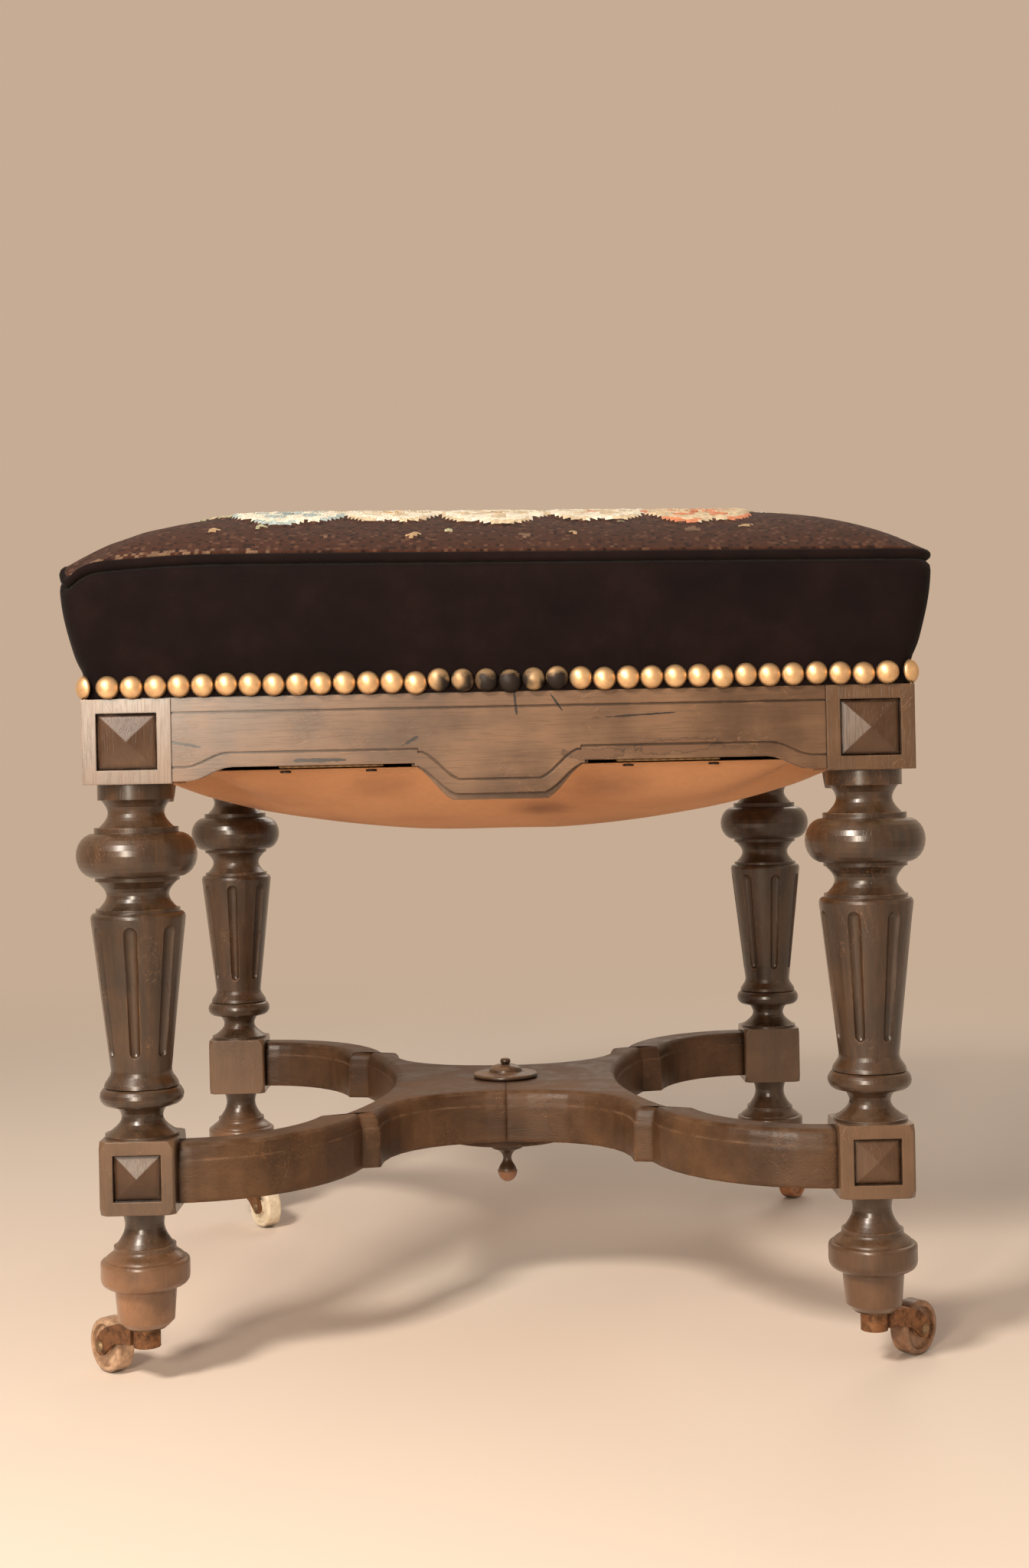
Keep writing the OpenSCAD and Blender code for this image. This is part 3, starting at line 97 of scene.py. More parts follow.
def add(tree, kind, inputs=None, **settings):
    """Adds one shader node. An input is a socket to join or a plain value, by name or number."""
    item = tree.nodes.new("ShaderNode" + kind)
    for name, value in settings.items():
        setattr(item, name, value)
    for name, value in (inputs or {}).items():
        if isinstance(value, bpy.types.NodeSocket):
            tree.links.new(value, item.inputs[name])
        else:
            item.inputs[name].default_value = value
    return item


def math_node(tree, operation, first, second=0.0, third=0.0, clamp=False):
    """One operation on up to three values."""
    item = add(tree, "Math", {0: first, 1: second, 2: third}, operation=operation, use_clamp=clamp)
    return item.outputs[0]


def times(tree, first, second):
    return math_node(tree, "MULTIPLY", first, second)


def scaled(tree, value, factor, offset, clamp=False):
    """A value times a factor, plus an offset."""
    return math_node(tree, "MULTIPLY_ADD", value, factor, offset, clamp)


def stretched(tree, where, factors):
    return add(tree, "VectorMath", {0: where, 1: factors}, operation="MULTIPLY").outputs[0]


def blend_colours(tree, amount, first, second):
    """Goes from the first colour to the second as the amount goes from 0 to 1."""
    item = tree.nodes.new("ShaderNodeMix")
    item.data_type = "RGBA"
    for socket, value in ((item.inputs[0], amount), (item.inputs[6], first), (item.inputs[7], second)):
        if isinstance(value, bpy.types.NodeSocket):
            tree.links.new(value, socket)
        else:
            socket.default_value = value
    return item.outputs[2]


def span(tree, value, low, high, to_low=0.0, to_high=1.0):
    """Stretches the values from low to high over a new span, smoothly and clamped."""
    item = add(tree, "MapRange", {0: value, 1: low, 2: high, 3: to_low, 4: to_high})
    item.interpolation_type = "SMOOTHSTEP"
    return item.outputs[0]


def placed(tree, turn=(0, 0, 0)):
    """Object coordinates, in metres, after a turn in degrees."""
    where = add(tree, "TexCoord").outputs["Object"]
    turned = [math.radians(a) for a in turn]
    return add(tree, "Mapping", {"Vector": where, "Rotation": turned}).outputs[0]


def cloudy(tree, where, scale, detail, roughness=0.5, distortion=0.0):
    """Smooth noise from 0 to 1 at a place."""
    return add(tree, "TexNoise", {"Vector": where, "Scale": scale, "Detail": detail,
                                  "Roughness": roughness, "Distortion": distortion}).outputs[0]


def new_group(name, inputs, outputs):
    """A node group with named sockets. Returns the tree, its input sockets and its output sockets."""
    tree = bpy.data.node_groups.new(name, "ShaderNodeTree")
    for label, kind, value in inputs:
        socket = tree.interface.new_socket(label, in_out="INPUT", socket_type="NodeSocket" + kind)
        if value is not None:
            socket.default_value = value
    for label, kind in outputs:
        tree.interface.new_socket(label, in_out="OUTPUT", socket_type="NodeSocket" + kind)
    return tree, tree.nodes.new("NodeGroupInput").outputs, tree.nodes.new("NodeGroupOutput").inputs


def use_group(tree, group, **inputs):
    """Places a group in a material. Input names are written with _ for a space."""
    item = tree.nodes.new("ShaderNodeGroup")
    item.node_tree = group
    for name, value in inputs.items():
        socket = item.inputs[name.replace("_", " ")]
        if isinstance(value, bpy.types.NodeSocket):
            tree.links.new(value, socket)
        else:
            socket.default_value = value
    return item.outputs


def new_finish(name, **constants):
    """A material with one Principled shader. Constants go on the shader's own sockets."""
    finish = bpy.data.materials.new(name)
    finish.use_nodes = True
    tree = finish.node_tree
    shader = tree.nodes["Principled BSDF"]
    for label, value in constants.items():
        shader.inputs[label.replace("_", " ")].default_value = value
    return finish, tree, shader


def connect(tree, shader, colour=None, roughness=None, metallic=None, height=None, relief=0.001,
            normal=None):
    """Joins what varies over the surface to the shader. relief is the height's depth in metres."""
    for label, socket in (("Base Color", colour), ("Roughness", roughness), ("Metallic", metallic)):
        if socket is not None:
            tree.links.new(socket, shader.inputs[label])
    if height is not None:
        bump = add(tree, "Bump", {"Height": height, "Distance": relief})
        if normal is not None:
            tree.links.new(normal, bump.inputs["Normal"])
        tree.links.new(bump.outputs[0], shader.inputs["Normal"])


print("helpers ready")

# %% [markdown]
# ## Effects that several finishes share
# Wood figure, rubbed edges, painted shade with grime in corners, dust with painted light on what
# faces up, scratches and woven thread turn up on many pieces.
# Each is a node group, built once, and every material places it with its own numbers. A group
# puts out only masks, heights and normals, so the shader itself stays in the material.

# %% Wood figure: long streaks and open pores along local X
figure_group, given, out = new_group(
    "wood_figure", [("Vector", "Vector", None), ("Fineness", "Float", 1.0)],
    [("Streaks", "Float"), ("Pores", "Float"), ("Clouds", "Float")])
STREAK_STRETCH = (14.0, 150.0, 150.0)
PORE_STRETCH = (60.0, 1300.0, 1300.0)
sized = add(figure_group, "VectorMath", {0: given["Vector"], 3: given["Fineness"]},
            operation="SCALE").outputs[0]
streaks = cloudy(figure_group, stretched(figure_group, sized, STREAK_STRETCH), 1.0, 5.0, 0.62, 0.4)
pores = cloudy(figure_group, stretched(figure_group, sized, PORE_STRETCH), 1.0, 2.0)
clouds = cloudy(figure_group, given["Vector"], 24.0, 4.0)
figure_group.links.new(span(figure_group, streaks, 0.3, 0.72), out["Streaks"])
figure_group.links.new(span(figure_group, pores, 0.52, 0.68), out["Pores"])
figure_group.links.new(span(figure_group, clouds, 0.28, 0.74), out["Clouds"])

# %% Rubbed edges: where a rounded normal would differ from the true one, broken up by noise
rub_group, given, out = new_group(
    "rubbed_edges", [("Vector", "Vector", None), ("Radius", "Float", 0.0015), ("Amount", "Float", 1.0)],
    [("Mask", "Float"), ("Normal", "Vector")])
rounded = add(rub_group, "Bevel", {"Radius": given["Radius"]}, samples=6)
true_normal = add(rub_group, "NewGeometry").outputs["True Normal"]
likeness = add(rub_group, "VectorMath", {0: rounded.outputs[0], 1: true_normal}, operation="DOT_PRODUCT")
edge = math_node(rub_group, "SUBTRACT", 1.0, likeness.outputs["Value"])
uneven = span(rub_group, cloudy(rub_group, given["Vector"], 75.0, 5.0, 0.7), 0.42, 0.72)
worn_edge = times(rub_group, span(rub_group, edge, 0.015, 0.2), uneven)
worn_edge = math_node(rub_group, "MULTIPLY", worn_edge, given["Amount"], clamp=True)
rub_group.links.new(worn_edge, out["Mask"])
rub_group.links.new(rounded.outputs[0], out["Normal"])

# %% Painted shade and grime in corners, dust and painted light on what faces up
shade_and_dust_group, given, out = new_group(
    "crevice_shade_and_dust", [("Vector", "Vector", None), ("Reach", "Float", 0.012)],
    [("Shade_And_Grime", "Float"), ("Dust_And_Top_Light", "Float")])
shut_in = add(shade_and_dust_group, "AmbientOcclusion", {"Distance": given["Reach"]}, samples=6)
# Darker where the occlusion finds corners and recesses: painted shade, along with grime.
crevice_shade = span(shade_and_dust_group, shut_in.outputs["AO"], 0.25, 0.85, 1.0, 0.0)
facing = add(shade_and_dust_group, "SeparateXYZ", {0: add(shade_and_dust_group, "NewGeometry").outputs["Normal"]}).outputs[2]
settled = cloudy(shade_and_dust_group, given["Vector"], 60.0, 5.0, 0.65)
# What faces up is whitened by this mask: settled dust, and painted light from above.
dust = times(shade_and_dust_group, span(shade_and_dust_group, facing, 0.35, 0.95), span(shade_and_dust_group, settled, 0.35, 0.7))
shade_and_dust_group.links.new(crevice_shade, out["Shade_And_Grime"])
shade_and_dust_group.links.new(dust, out["Dust_And_Top_Light"])

# %% Scratches: thin level lines of stretched noise, in two directions
scratch_group, given, out = new_group(
    "scratches", [("Vector", "Vector", None), ("Density", "Float", 1.0)], [("Mask", "Float")])
lines = []
for turn, stretch in ((0.35, (30.0, 420.0, 420.0)), (-0.9, (45.0, 600.0, 600.0))):
    turned = add(scratch_group, "VectorRotate", {"Vector": given["Vector"], "Angle": turn},
                 rotation_type="Y_AXIS").outputs[0]
    ridge = cloudy(scratch_group, stretched(scratch_group, turned, stretch), given["Density"], 1.0)
    off_line = math_node(scratch_group, "ABSOLUTE", math_node(scratch_group, "SUBTRACT", ridge, 0.5))
    lines.append(span(scratch_group, off_line, 0.0, 0.012, 1.0, 0.0))
some = span(scratch_group, cloudy(scratch_group, given["Vector"], 35.0, 2.0), 0.52, 0.68)
either = math_node(scratch_group, "MAXIMUM", lines[0], lines[1])
scratch_group.links.new(times(scratch_group, either, some), out["Mask"])

# %% Woven thread: over and under, on two axes of the cloth
weave_group, given, out = new_group(
    "woven_thread", [("Vector", "Vector", None), ("Threads", "Float", 900.0)],
    [("Height", "Float"), ("Slubs", "Float")])
parts = add(weave_group, "SeparateXYZ", {0: given["Vector"]}).outputs
waves = []
for axis in (0, 1):
    turns = times(weave_group, parts[axis], given["Threads"])
    waves.append(math_node(weave_group, "SINE", times(weave_group, turns, math.pi)))
crossing = times(weave_group, waves[0], waves[1])
weave_group.links.new(scaled(weave_group, crossing, 0.5, 0.5), out["Height"])
weave_group.links.new(cloudy(weave_group, given["Vector"], 260.0, 3.0), out["Slubs"])
print("groups:", [g.name for g in bpy.data.node_groups])

# %% [markdown]
# ## Ebonised wood
# The frame is beech or birch, stained nearly black and polished. A century of hands and shoes has
# worn it back to brown. So the finish is layered: bare wood at the bottom, the black stain over it,
# thinned along the figure, then rubbed edges, grime with painted shade in the corners, and a dull
# bloom of dust with painted light on what faces up. Chips and cracks are ragged ellipses, set where
# they lie on the front. The figure runs along each piece, so one function takes the direction of the
# grain.

# %% The wood finishes
ALONG = {"x": (0, 0, 0), "y": (0, 0, -90), "z": (0, 90, 0)}
TORN = shade(96, 68, 47)
TORN_EDGE = shade(30, 19, 12)
# The bloom colour whitens what faces up: dust, and painted light from above.
BLOOM_AND_TOP_LIGHT = shade(176, 148, 122)
# The grime colour darkens corners and recesses: grime, and painted shade.
GRIME_AND_SHADE = shade(20, 12, 8)


def broken_patch(tree, middle, size, turn):
    """A mask of 1 inside a ragged ellipse round a place, for a chip or a crack, turned by an angle."""
    where = placed(tree)
    off = add(tree, "VectorMath", {0: where, 1: middle}, operation="SUBTRACT").outputs[0]
    level = add(tree, "VectorRotate", {"Vector": off, "Angle": turn}, rotation_type="Y_AXIS").outputs[0]
    even = add(tree, "VectorMath", {0: level, 1: size}, operation="DIVIDE").outputs[0]
    away = add(tree, "VectorMath", {0: even}, operation="LENGTH").outputs["Value"]
    ragged = scaled(tree, cloudy(tree, where, 230.0, 4.0), 1.4, away)
    return span(tree, ragged, 1.36, 1.6, 1.0, 0.0)


def ebonised(name, grain, black, brown, rubbed, rub=1.0, bloom_and_top_light=0.3, gloss=0.3, coat=0.6, streaky=0.3,
             bare=None, pale=(), chips=(), cracks=(), rounding=1.2 * MM, scratched=0.4):
    """Black-stained wood. grain is the axis it runs along and rub how far its edges are worn. bare
    gives the heights between which the stain has gone; there the left legs are made paler than the
    right, which is painted light from the left over the wear. pale gives those between which dust has
    dulled it. chips are places where an edge has broken off, and cracks are thin dark ones."""
    finish, tree, shader = new_finish(name, Coat_Weight=coat, Coat_Roughness=0.27,
                                      Specular_IOR_Level=0.3)
    where = placed(tree, turn=ALONG[grain])
    figure = use_group(tree, figure_group, Vector=where)
    rubbing = use_group(tree, rub_group, Vector=where, Radius=rounding, Amount=rub)
    edges = rubbing["Mask"]
    soil_and_shade = use_group(tree, shade_and_dust_group, Vector=where, Reach=6 * MM)
    marks = use_group(tree, scratch_group, Vector=where, Density=1.0)["Mask"]
    thin = times(tree, figure["Streaks"], streaky)
    thin = scaled(tree, figure["Clouds"], 0.9 - streaky, thin)
    stain = blend_colours(tree, thin, black, brown)
    stain = blend_colours(tree, times(tree, figure["Pores"], 0.3), stain, black)
    worn = blend_colours(tree, edges, stain, rubbed)
    worn = blend_colours(tree, times(tree, marks, scratched), worn, rubbed)
    parts = add(tree, "SeparateXYZ", {0: placed(tree)}).outputs
    if bare:
        low = span(tree, parts[2], *bare, 1.0, 0.0)
        # The left legs are made paler than the right: painted light from the left, over real wear.
        left = span(tree, parts[0], -0.1, 0.1, 0.9, 0.25)
        patchy = scaled(tree, figure["Clouds"], 0.8, 0.25, clamp=True)
        gone = times(tree, times(tree, low, left), patchy)
        worn = blend_colours(tree, gone, worn, rubbed)
    for low, high in pale:
        above = span(tree, parts[2], low - 0.5 * MM, low)
        below = span(tree, parts[2], high, high + 0.5 * MM, 1.0, 0.0)
        dulled = scaled(tree, figure["Clouds"], 0.3, 0.3)
        dulled = times(tree, dulled, times(tree, above, below))
        worn = blend_colours(tree, dulled, worn, DUSTY_LIGHT)
    for chip in chips:
        gone = broken_patch(tree, *chip)
        rim = times(tree, gone, math_node(tree, "SUBTRACT", 1.0, gone))
        worn = blend_colours(tree, gone, worn, TORN)
        worn = blend_colours(tree, times(tree, rim, 2.0), worn, TORN_EDGE)
    for crack in cracks:
        worn = blend_colours(tree, broken_patch(tree, *crack), worn, TORN_EDGE)
    # What faces up is whitened: dust, and painted light from above.
    bloomed_and_top_lit = blend_colours(tree, times(tree, soil_and_shade["Dust_And_Top_Light"], bloom_and_top_light), worn, BLOOM_AND_TOP_LIGHT)
    # Corners and recesses darken towards the grime colour: painted shade as well as grime.
    colour = blend_colours(tree, times(tree, soil_and_shade["Shade_And_Grime"], 0.85), bloomed_and_top_lit, GRIME_AND_SHADE)
    dull = scaled(tree, figure["Clouds"], 0.14, gloss)
    dull = scaled(tree, edges, 0.25, dull)
    dull = scaled(tree, soil_and_shade["Dust_And_Top_Light"], 0.3, dull, clamp=True)
    height = scaled(tree, figure["Pores"], -0.4, times(tree, figure["Clouds"], 0.8))
    height = math_node(tree, "SUBTRACT", height, times(tree, marks, 2 * scratched))
    height = math_node(tree, "SUBTRACT", height, times(tree, edges, 0.9))
    connect(tree, shader, colour, dull, height=height, relief=0.15 * MM, normal=rubbing["Normal"])
    return finish


BLACK = shade(30, 19, 10)
BROWN = shade(78, 53, 31)
RUBBED = shade(152, 106, 68)
PEG_BARE = (0.048, 0.088)
BALL_BARE = (0.071, 0.075)
DUSTY = shade(70, 48, 31)
DUSTY_LIGHT = shade(124, 93, 67)
FASCIA_RUBBED = shade(156, 114, 82)
TOP_BLOCKS = (331 * MM, 378 * MM)
LOW_BLOCKS = (97.5 * MM, 137.5 * MM)
CHIPS = [((0.050, -0.225, 0.3425), (0.020, 0.02, 0.004), 0.0),
         ((0.096, -0.225, 0.346), (0.030, 0.02, 0.005), 0.06)]
CRACKS = [((-0.098, -0.225, 0.342), (0.02, 0.02, 0.0013), 0.0),
          ((-0.047, -0.225, 0.352), (0.006, 0.02, 0.0013), 0.5),
          ((0.009, -0.225, 0.371), (0.0009, 0.02, 0.009), 0.1),
          ((0.031, -0.225, 0.371), (0.0008, 0.02, 0.008), 0.6),
          ((-0.17, -0.225, 0.352), (0.013, 0.02, 0.001), -0.2),
          ((0.075, -0.225, 0.363), (0.024, 0.02, 0.0007), 0.05)]
leg_finish = ebonised("ebonised_legs", "z", BLACK, BROWN, shade(168, 120, 84), rub=0.7, bloom_and_top_light=0.15,
                      gloss=0.25, coat=0.8, streaky=0.5, bare=PEG_BARE, pale=(TOP_BLOCKS, LOW_BLOCKS))
fascia_long = ebonised("ebonised_fascia_x", "x", DUSTY, DUSTY_LIGHT, FASCIA_RUBBED, gloss=0.36,
                       streaky=0.2, chips=CHIPS, cracks=CRACKS)
fascia_cross = ebonised("ebonised_fascia_y", "y", DUSTY, DUSTY_LIGHT, FASCIA_RUBBED, gloss=0.36,
                        streaky=0.2)
stretcher_finish = ebonised("ebonised_stretcher", "x", shade(52, 34, 20), shade(98, 69, 44), RUBBED,
                            rub=0.6, bloom_and_top_light=0.2, gloss=0.36, coat=0.1, streaky=0.2, rounding=4 * MM)
# The boss and the diamonds are whitened most on what faces up: painted light and highlight from above, as
# well as dust.
boss_finish = ebonised("ebonised_boss", "z", BLACK, BROWN, shade(176, 132, 98), bloom_and_top_light=0.5)
diamond_finish = ebonised("ebonised_diamonds", "z", shade(58, 38, 24), shade(100, 72, 50),
                          shade(190, 150, 120), rub=0.8, bloom_and_top_light=1.0, coat=0.35, streaky=0.1,
                          scratched=0.05)
drop_finish = ebonised("ebonised_drop", "z", BLACK, BROWN, shade(176, 124, 92), bloom_and_top_light=0.1, bare=BALL_BARE)
print("ebonised finishes made")


# %% Plain and worn woods
def plain_wood(name, grain, dark, light, roughness=0.6):
    finish, tree, shader = new_finish(name)
    where = placed(tree, turn=ALONG[grain])
    figure = use_group(tree, figure_group, Vector=where, Fineness=0.8)
    soil_and_shade = use_group(tree, shade_and_dust_group, Vector=where, Reach=15 * MM)
    colour = blend_colours(tree, figure["Streaks"], dark, light)
    # Darker in corners and recesses by the occlusion mask: painted shade as well as grime.
    colour = blend_colours(tree, times(tree, soil_and_shade["Shade_And_Grime"], 0.6), colour, shade(60, 42, 28))
    dull = scaled(tree, figure["Pores"], 0.2, roughness, clamp=True)
    connect(tree, shader, colour, dull, height=figure["Streaks"], relief=0.15 * MM)
    return finish


rail_long = plain_wood("rail_wood_x", "x", shade(112, 80, 50), shade(170, 132, 90))
rail_cross = plain_wood("rail_wood_y", "y", shade(112, 80, 50), shade(170, 132, 90))
block_wood = plain_wood("corner_block_wood", "z", shade(124, 92, 60), shade(182, 146, 102))
print("plain woods made")

# %% [markdown]
# ## Metals and wheels
# The nails are brass, polished by sleeves and dark round their rims, where an occlusion mask paints
# shade as well as patina. The middle ones of the front row have lost their shine: black on their
# lower halves, which is painted shade over the tarnish, and brassy on top. The casters are cast brass
# on iron pins. Their wheels were replaced over the years, so each one has a colour of its own and
# there are four wheel finishes.

# %% Metal finishes
def metal(name, bright, dark, roughness=0.3, tarnish=0.4, pitted=0.05):
    finish, tree, shader = new_finish(name)
    where = placed(tree)
    cloud = cloudy(tree, where, 160.0, 5.0, 0.7)
    soil_and_shade = use_group(tree, shade_and_dust_group, Vector=where, Reach=5 * MM)
    patina = times(tree, span(tree, cloud, 0.35, 0.7), tarnish)
    patina = math_node(tree, "MAXIMUM", patina, times(tree, soil_and_shade["Shade_And_Grime"], 0.8))
    colour = blend_colours(tree, patina, bright, dark)
    dull = scaled(tree, patina, 0.4, roughness, clamp=True)
    shine = scaled(tree, patina, -0.5, 1.0, clamp=True)
    connect(tree, shader, colour, dull, shine, cloud, relief=pitted * MM)
    return finish


def nail_brass():
    """Polished brass that turns nearly black where the middle of the front row is tarnished, most of
    all on the lower part of each head, which is painted shade. Its rims darken by an occlusion mask,
    painted shade as well as patina.
    """
    finish, tree, shader = new_finish("nail_brass")
    where = placed(tree)
    cloud = cloudy(tree, where, 210.0, 3.0)
    parts = add(tree, "SeparateXYZ", {0: where}).outputs
    from_middle = math_node(tree, "ABSOLUTE", math_node(tree, "SUBTRACT", parts[0], TARNISH_X))
    middle = span(tree, from_middle, TARNISH_HALF - 6 * MM, TARNISH_HALF + 4 * MM, 1.0, 0.0)
    front = span(tree, parts[1], -0.2, -0.19, 1.0, 0.0)
    black = times(tree, middle, front)
    edge_noise = scaled(tree, cloud, 8 * MM, parts[2])
    # Black is kept to the lower part of each head and fades above it: painted shade under the head, over
    # the tarnish.
    low = span(tree, edge_noise, NAIL_Z + 5 * MM, NAIL_Z + 11 * MM, 1.0, 0.35)
    black = times(tree, black, low)
    black = times(tree, black, span(tree, cloudy(tree, where, 70.0, 2.0), 0.35, 0.5, 0.45, 1.0))
    soil_and_shade = use_group(tree, shade_and_dust_group, Vector=where, Reach=1.5 * MM)["Shade_And_Grime"]
    patina = times(tree, span(tree, cloud, 0.4, 0.75), 0.35)
    # Rims darken where the occlusion mask finds the velvet and the next head: painted shade as well as
    # patina.
    patina = math_node(tree, "MAXIMUM", patina, times(tree, soil_and_shade, 0.4))
    colour = blend_colours(tree, patina, shade(234, 196, 148), shade(156, 108, 66))
    colour = blend_colours(tree, black, colour, shade(30, 20, 15))
    dull = scaled(tree, patina, 0.2, 0.42)
    dull = scaled(tree, black, 0.15, dull, clamp=True)
    shine = scaled(tree, black, -0.5, 0.85, clamp=True)
    connect(tree, shader, colour, dull, shine, cloud, relief=0.05 * MM)
    return finish


NAIL_Z = sum(corner[2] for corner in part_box("dome_nails")) / 2
TARNISH_X = 3 * MM
TARNISH_HALF = 38 * MM
nail_finish = nail_brass()
fork_finish = metal("caster_brass", shade(150, 108, 76), shade(76, 50, 34), 0.45, 1.0, 0.2)
plate_finish = metal("caster_iron", shade(128, 108, 88), shade(70, 46, 32), 0.5, 0.9, 0.2)
rivet_finish = metal("rivet_iron", shade(150, 128, 100), shade(78, 54, 38), 0.42, 0.7, 0.15)
spring_finish = metal("spring_steel", shade(120, 116, 110), shade(84, 60, 42), 0.4, 0.6)
tack_finish = metal("tack_iron", shade(60, 58, 58), shade(58, 38, 28), 0.5, 0.6)
print("metals made")


# %% Wheel finishes
def wheel_finish(name, fresh, worn, roughness):
    finish, tree, shader = new_finish(name, Coat_Weight=0.3, Coat_Roughness=0.25)
    where = placed(tree)
    cloud = cloudy(tree, where, 120.0, 4.0, 0.7)
    edges = use_group(tree, rub_group, Vector=where, Radius=1.0 * MM, Amount=0.9)["Mask"]
    soil_and_shade = use_group(tree, shade_and_dust_group, Vector=where, Reach=6 * MM)["Shade_And_Grime"]
    colour = blend_colours(tree, span(tree, cloud, 0.3, 0.7), fresh, worn)
    colour = blend_colours(tree, edges, colour, worn)
    # Darker in corners and recesses by the occlusion mask: painted shade as well as grime.
    colour = blend_colours(tree, times(tree, soil_and_shade, 0.7), colour, shade(52, 34, 22))
    dull = scaled(tree, cloud, 0.25, roughness, clamp=True)
    connect(tree, shader, colour, dull, height=cloud, relief=0.2 * MM)
    return finish


grey_wheel = wheel_finish("grey_brown_wheel", shade(140, 108, 84), shade(206, 170, 136), 0.35)
brown_wheel = wheel_finish("brown_wheel", shade(112, 78, 54), shade(164, 122, 90), 0.35)
white_wheel = wheel_finish("white_wheel", shade(236, 224, 200), shade(206, 186, 156), 0.2)
tan_wheel = wheel_finish("tan_wheel", shade(160, 96, 54), shade(200, 140, 92), 0.3)
print("wheels made")

# %% [markdown]
# ## Dress the solids that keep their shape
# The legs, rails, stretcher, boss and casters are right as they came, so only their material slots
# are filled. The grain of each runs along its length.

# %% Give each rigid solid its finish
SIDES = {"front": "long", "back": "long", "left": "cross", "right": "cross"}
finish_of = {"corner_blocks": block_wood, "centre_boss": boss_finish, "drop_pendant": drop_finish,
             "diamonds_upper": diamond_finish, "diamonds_lower": diamond_finish,
             "stretcher_left": stretcher_finish, "stretcher_right": stretcher_finish,
             "under_disc": stretcher_finish,
             "seat_springs": spring_finish, "cloth_tacks": tack_finish}
for side, way in SIDES.items():
    finish_of["rail_" + side] = rail_long if way == "long" else rail_cross
    finish_of["fascia_" + side] = fascia_long if way == "long" else fascia_cross
for end in ("front", "back"):
    for hand in ("left", "right"):
        finish_of[f"leg_{end}_{hand}"] = leg_finish
for corner, wheel in {"fl": grey_wheel, "fr": brown_wheel, "bl": white_wheel, "br": tan_wheel}.items():
    finish_of["caster_plate_" + corner] = plate_finish
    finish_of["caster_fork_" + corner] = fork_finish
    finish_of["caster_axle_" + corner] = rivet_finish
    finish_of["caster_wheel_" + corner] = wheel

for node, finish in finish_of.items():
    for material_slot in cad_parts[node].material_slots:
        material_slot.material = finish
print("dressed", len(finish_of), "solids")

# %% [markdown]
# ## The shape that all soft pieces share
# The seat is a rounded square that swells outward from the wood to a welted seam and then domes
# over. Its lines come from the boxes of the solids, so that each new piece lies where its solid
# lay. A point is found from how far it is round the outline and how far up the side or in from the
# seam it lies.

# %% Sizes of the seat
FLARE = 8.3 * MM
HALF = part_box("velvet_band")[1][0] - FLARE
WOOD_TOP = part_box("velvet_band")[0][2]
RAIL_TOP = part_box("rail_front")[1][2]
LEG_AT = (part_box("leg_front_right")[0][0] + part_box("leg_front_right")[1][0]) / 2
SEAM_TOP = 449 * MM
CROWN = 486 * MM
DOME_POWER = 5.2
DOME_LEAN = 2.5 * MM
WELT_R = 3 * MM
FABRIC = 2.5 * MM
BAND_R = 10 * MM
SEAM_R = 12 * MM
SAGS = {(-1, -1): 4 * MM, (1, -1): 0.0, (1, 1): 4 * MM, (-1, 1): 4 * MM}
SAG_POWER = 150
TIP_SAG = 8 * MM
TIP_POWER = 3000
ARC_SHARE = math.pi / 2 * BAND_R / (2 * (HALF - BAND_R) + math.pi / 2 * BAND_R)


def reach(x, y, half, corner):
    """Distance from the middle to a rounded square's outline, towards (x, y)."""
    ray = Vector((abs(x), abs(y))).normalized()
    straight = half - corner
    for a, b in ((ray.x, ray.y), (ray.y, ray.x)):
        if a > 0 and half * b / a <= straight:
            return half / a
    middle = Vector((straight, straight))
    along = ray.dot(middle)
    return along + math.sqrt(max(0.0, along * along - middle.dot(middle) + corner * corner))


def lean(x):
    """Drop of the seat at a distance from its middle: the stuffing has moved to the left."""
    return DOME_LEAN * x / HALF


def seam_height(x, y):
    """Height of the seam in the direction of a point: it sags at the corners."""
    ray = Vector((x, y)).normalized()
    height = SEAM_TOP - lean(ray.x * reach(x, y, HALF + FLARE, SEAM_R))
    for signs, sag in SAGS.items():
        towards = max(0.0, ray.dot(Vector(signs).normalized()))
        height -= sag * towards ** SAG_POWER
        if signs == (-1, -1):
            height -= TIP_SAG * towards ** TIP_POWER
    return height


def outline(share, half, corner):
    """A point and its outward direction on a rounded square, by its share of the way round.
    The share starts at the middle of the back and goes round over the left side. Every corner
    takes the same share, so that outlines of other sizes line up."""
    straight = half - corner
    side = int((share * 4) % 4)
    along = (share * 4) % 1
    flat = (1 - ARC_SHARE) / 2
    if along < flat:
        place, turn = Vector((-straight * along / flat, half)), 0.0
    elif along < flat + ARC_SHARE:
        turn = (along - flat) / ARC_SHARE * math.pi / 2
        place = Vector((-straight - corner * math.sin(turn), straight + corner * math.cos(turn)))
    else:
        place, turn = Vector((-half, straight * (1 - along) / flat)), math.pi / 2
    spin = Matrix.Rotation(side * math.pi / 2, 2)
    return spin @ place, spin @ Vector((-math.sin(turn), math.cos(turn)))


def swell(x, y, z):
    """How far the side stands out at height z."""
    rise = (z - RAIL_TOP) / (seam_height(x, y) - RAIL_TOP)
    return FLARE * math.sin(math.pi / 2 * min(1.0, max(0.0, rise)))


def dome_height(x, y, inset=0.0, lift=0.0):
    """Height of the dome over (x, y), after moving its surface in by inset."""
    if abs(x) + abs(y) < 1e-6:
        return CROWN - inset
    share = min(1.0, math.hypot(x, y) / reach(x, y, HALF + FLARE - inset, SEAM_R - inset))
    edge = share ** DOME_POWER
    return (CROWN - inset - lean(x)) * (1 - edge) + (seam_height(x, y) + lift) * edge


print("seat half width", round(HALF + FLARE, 4), "crown", round(CROWN, 4))


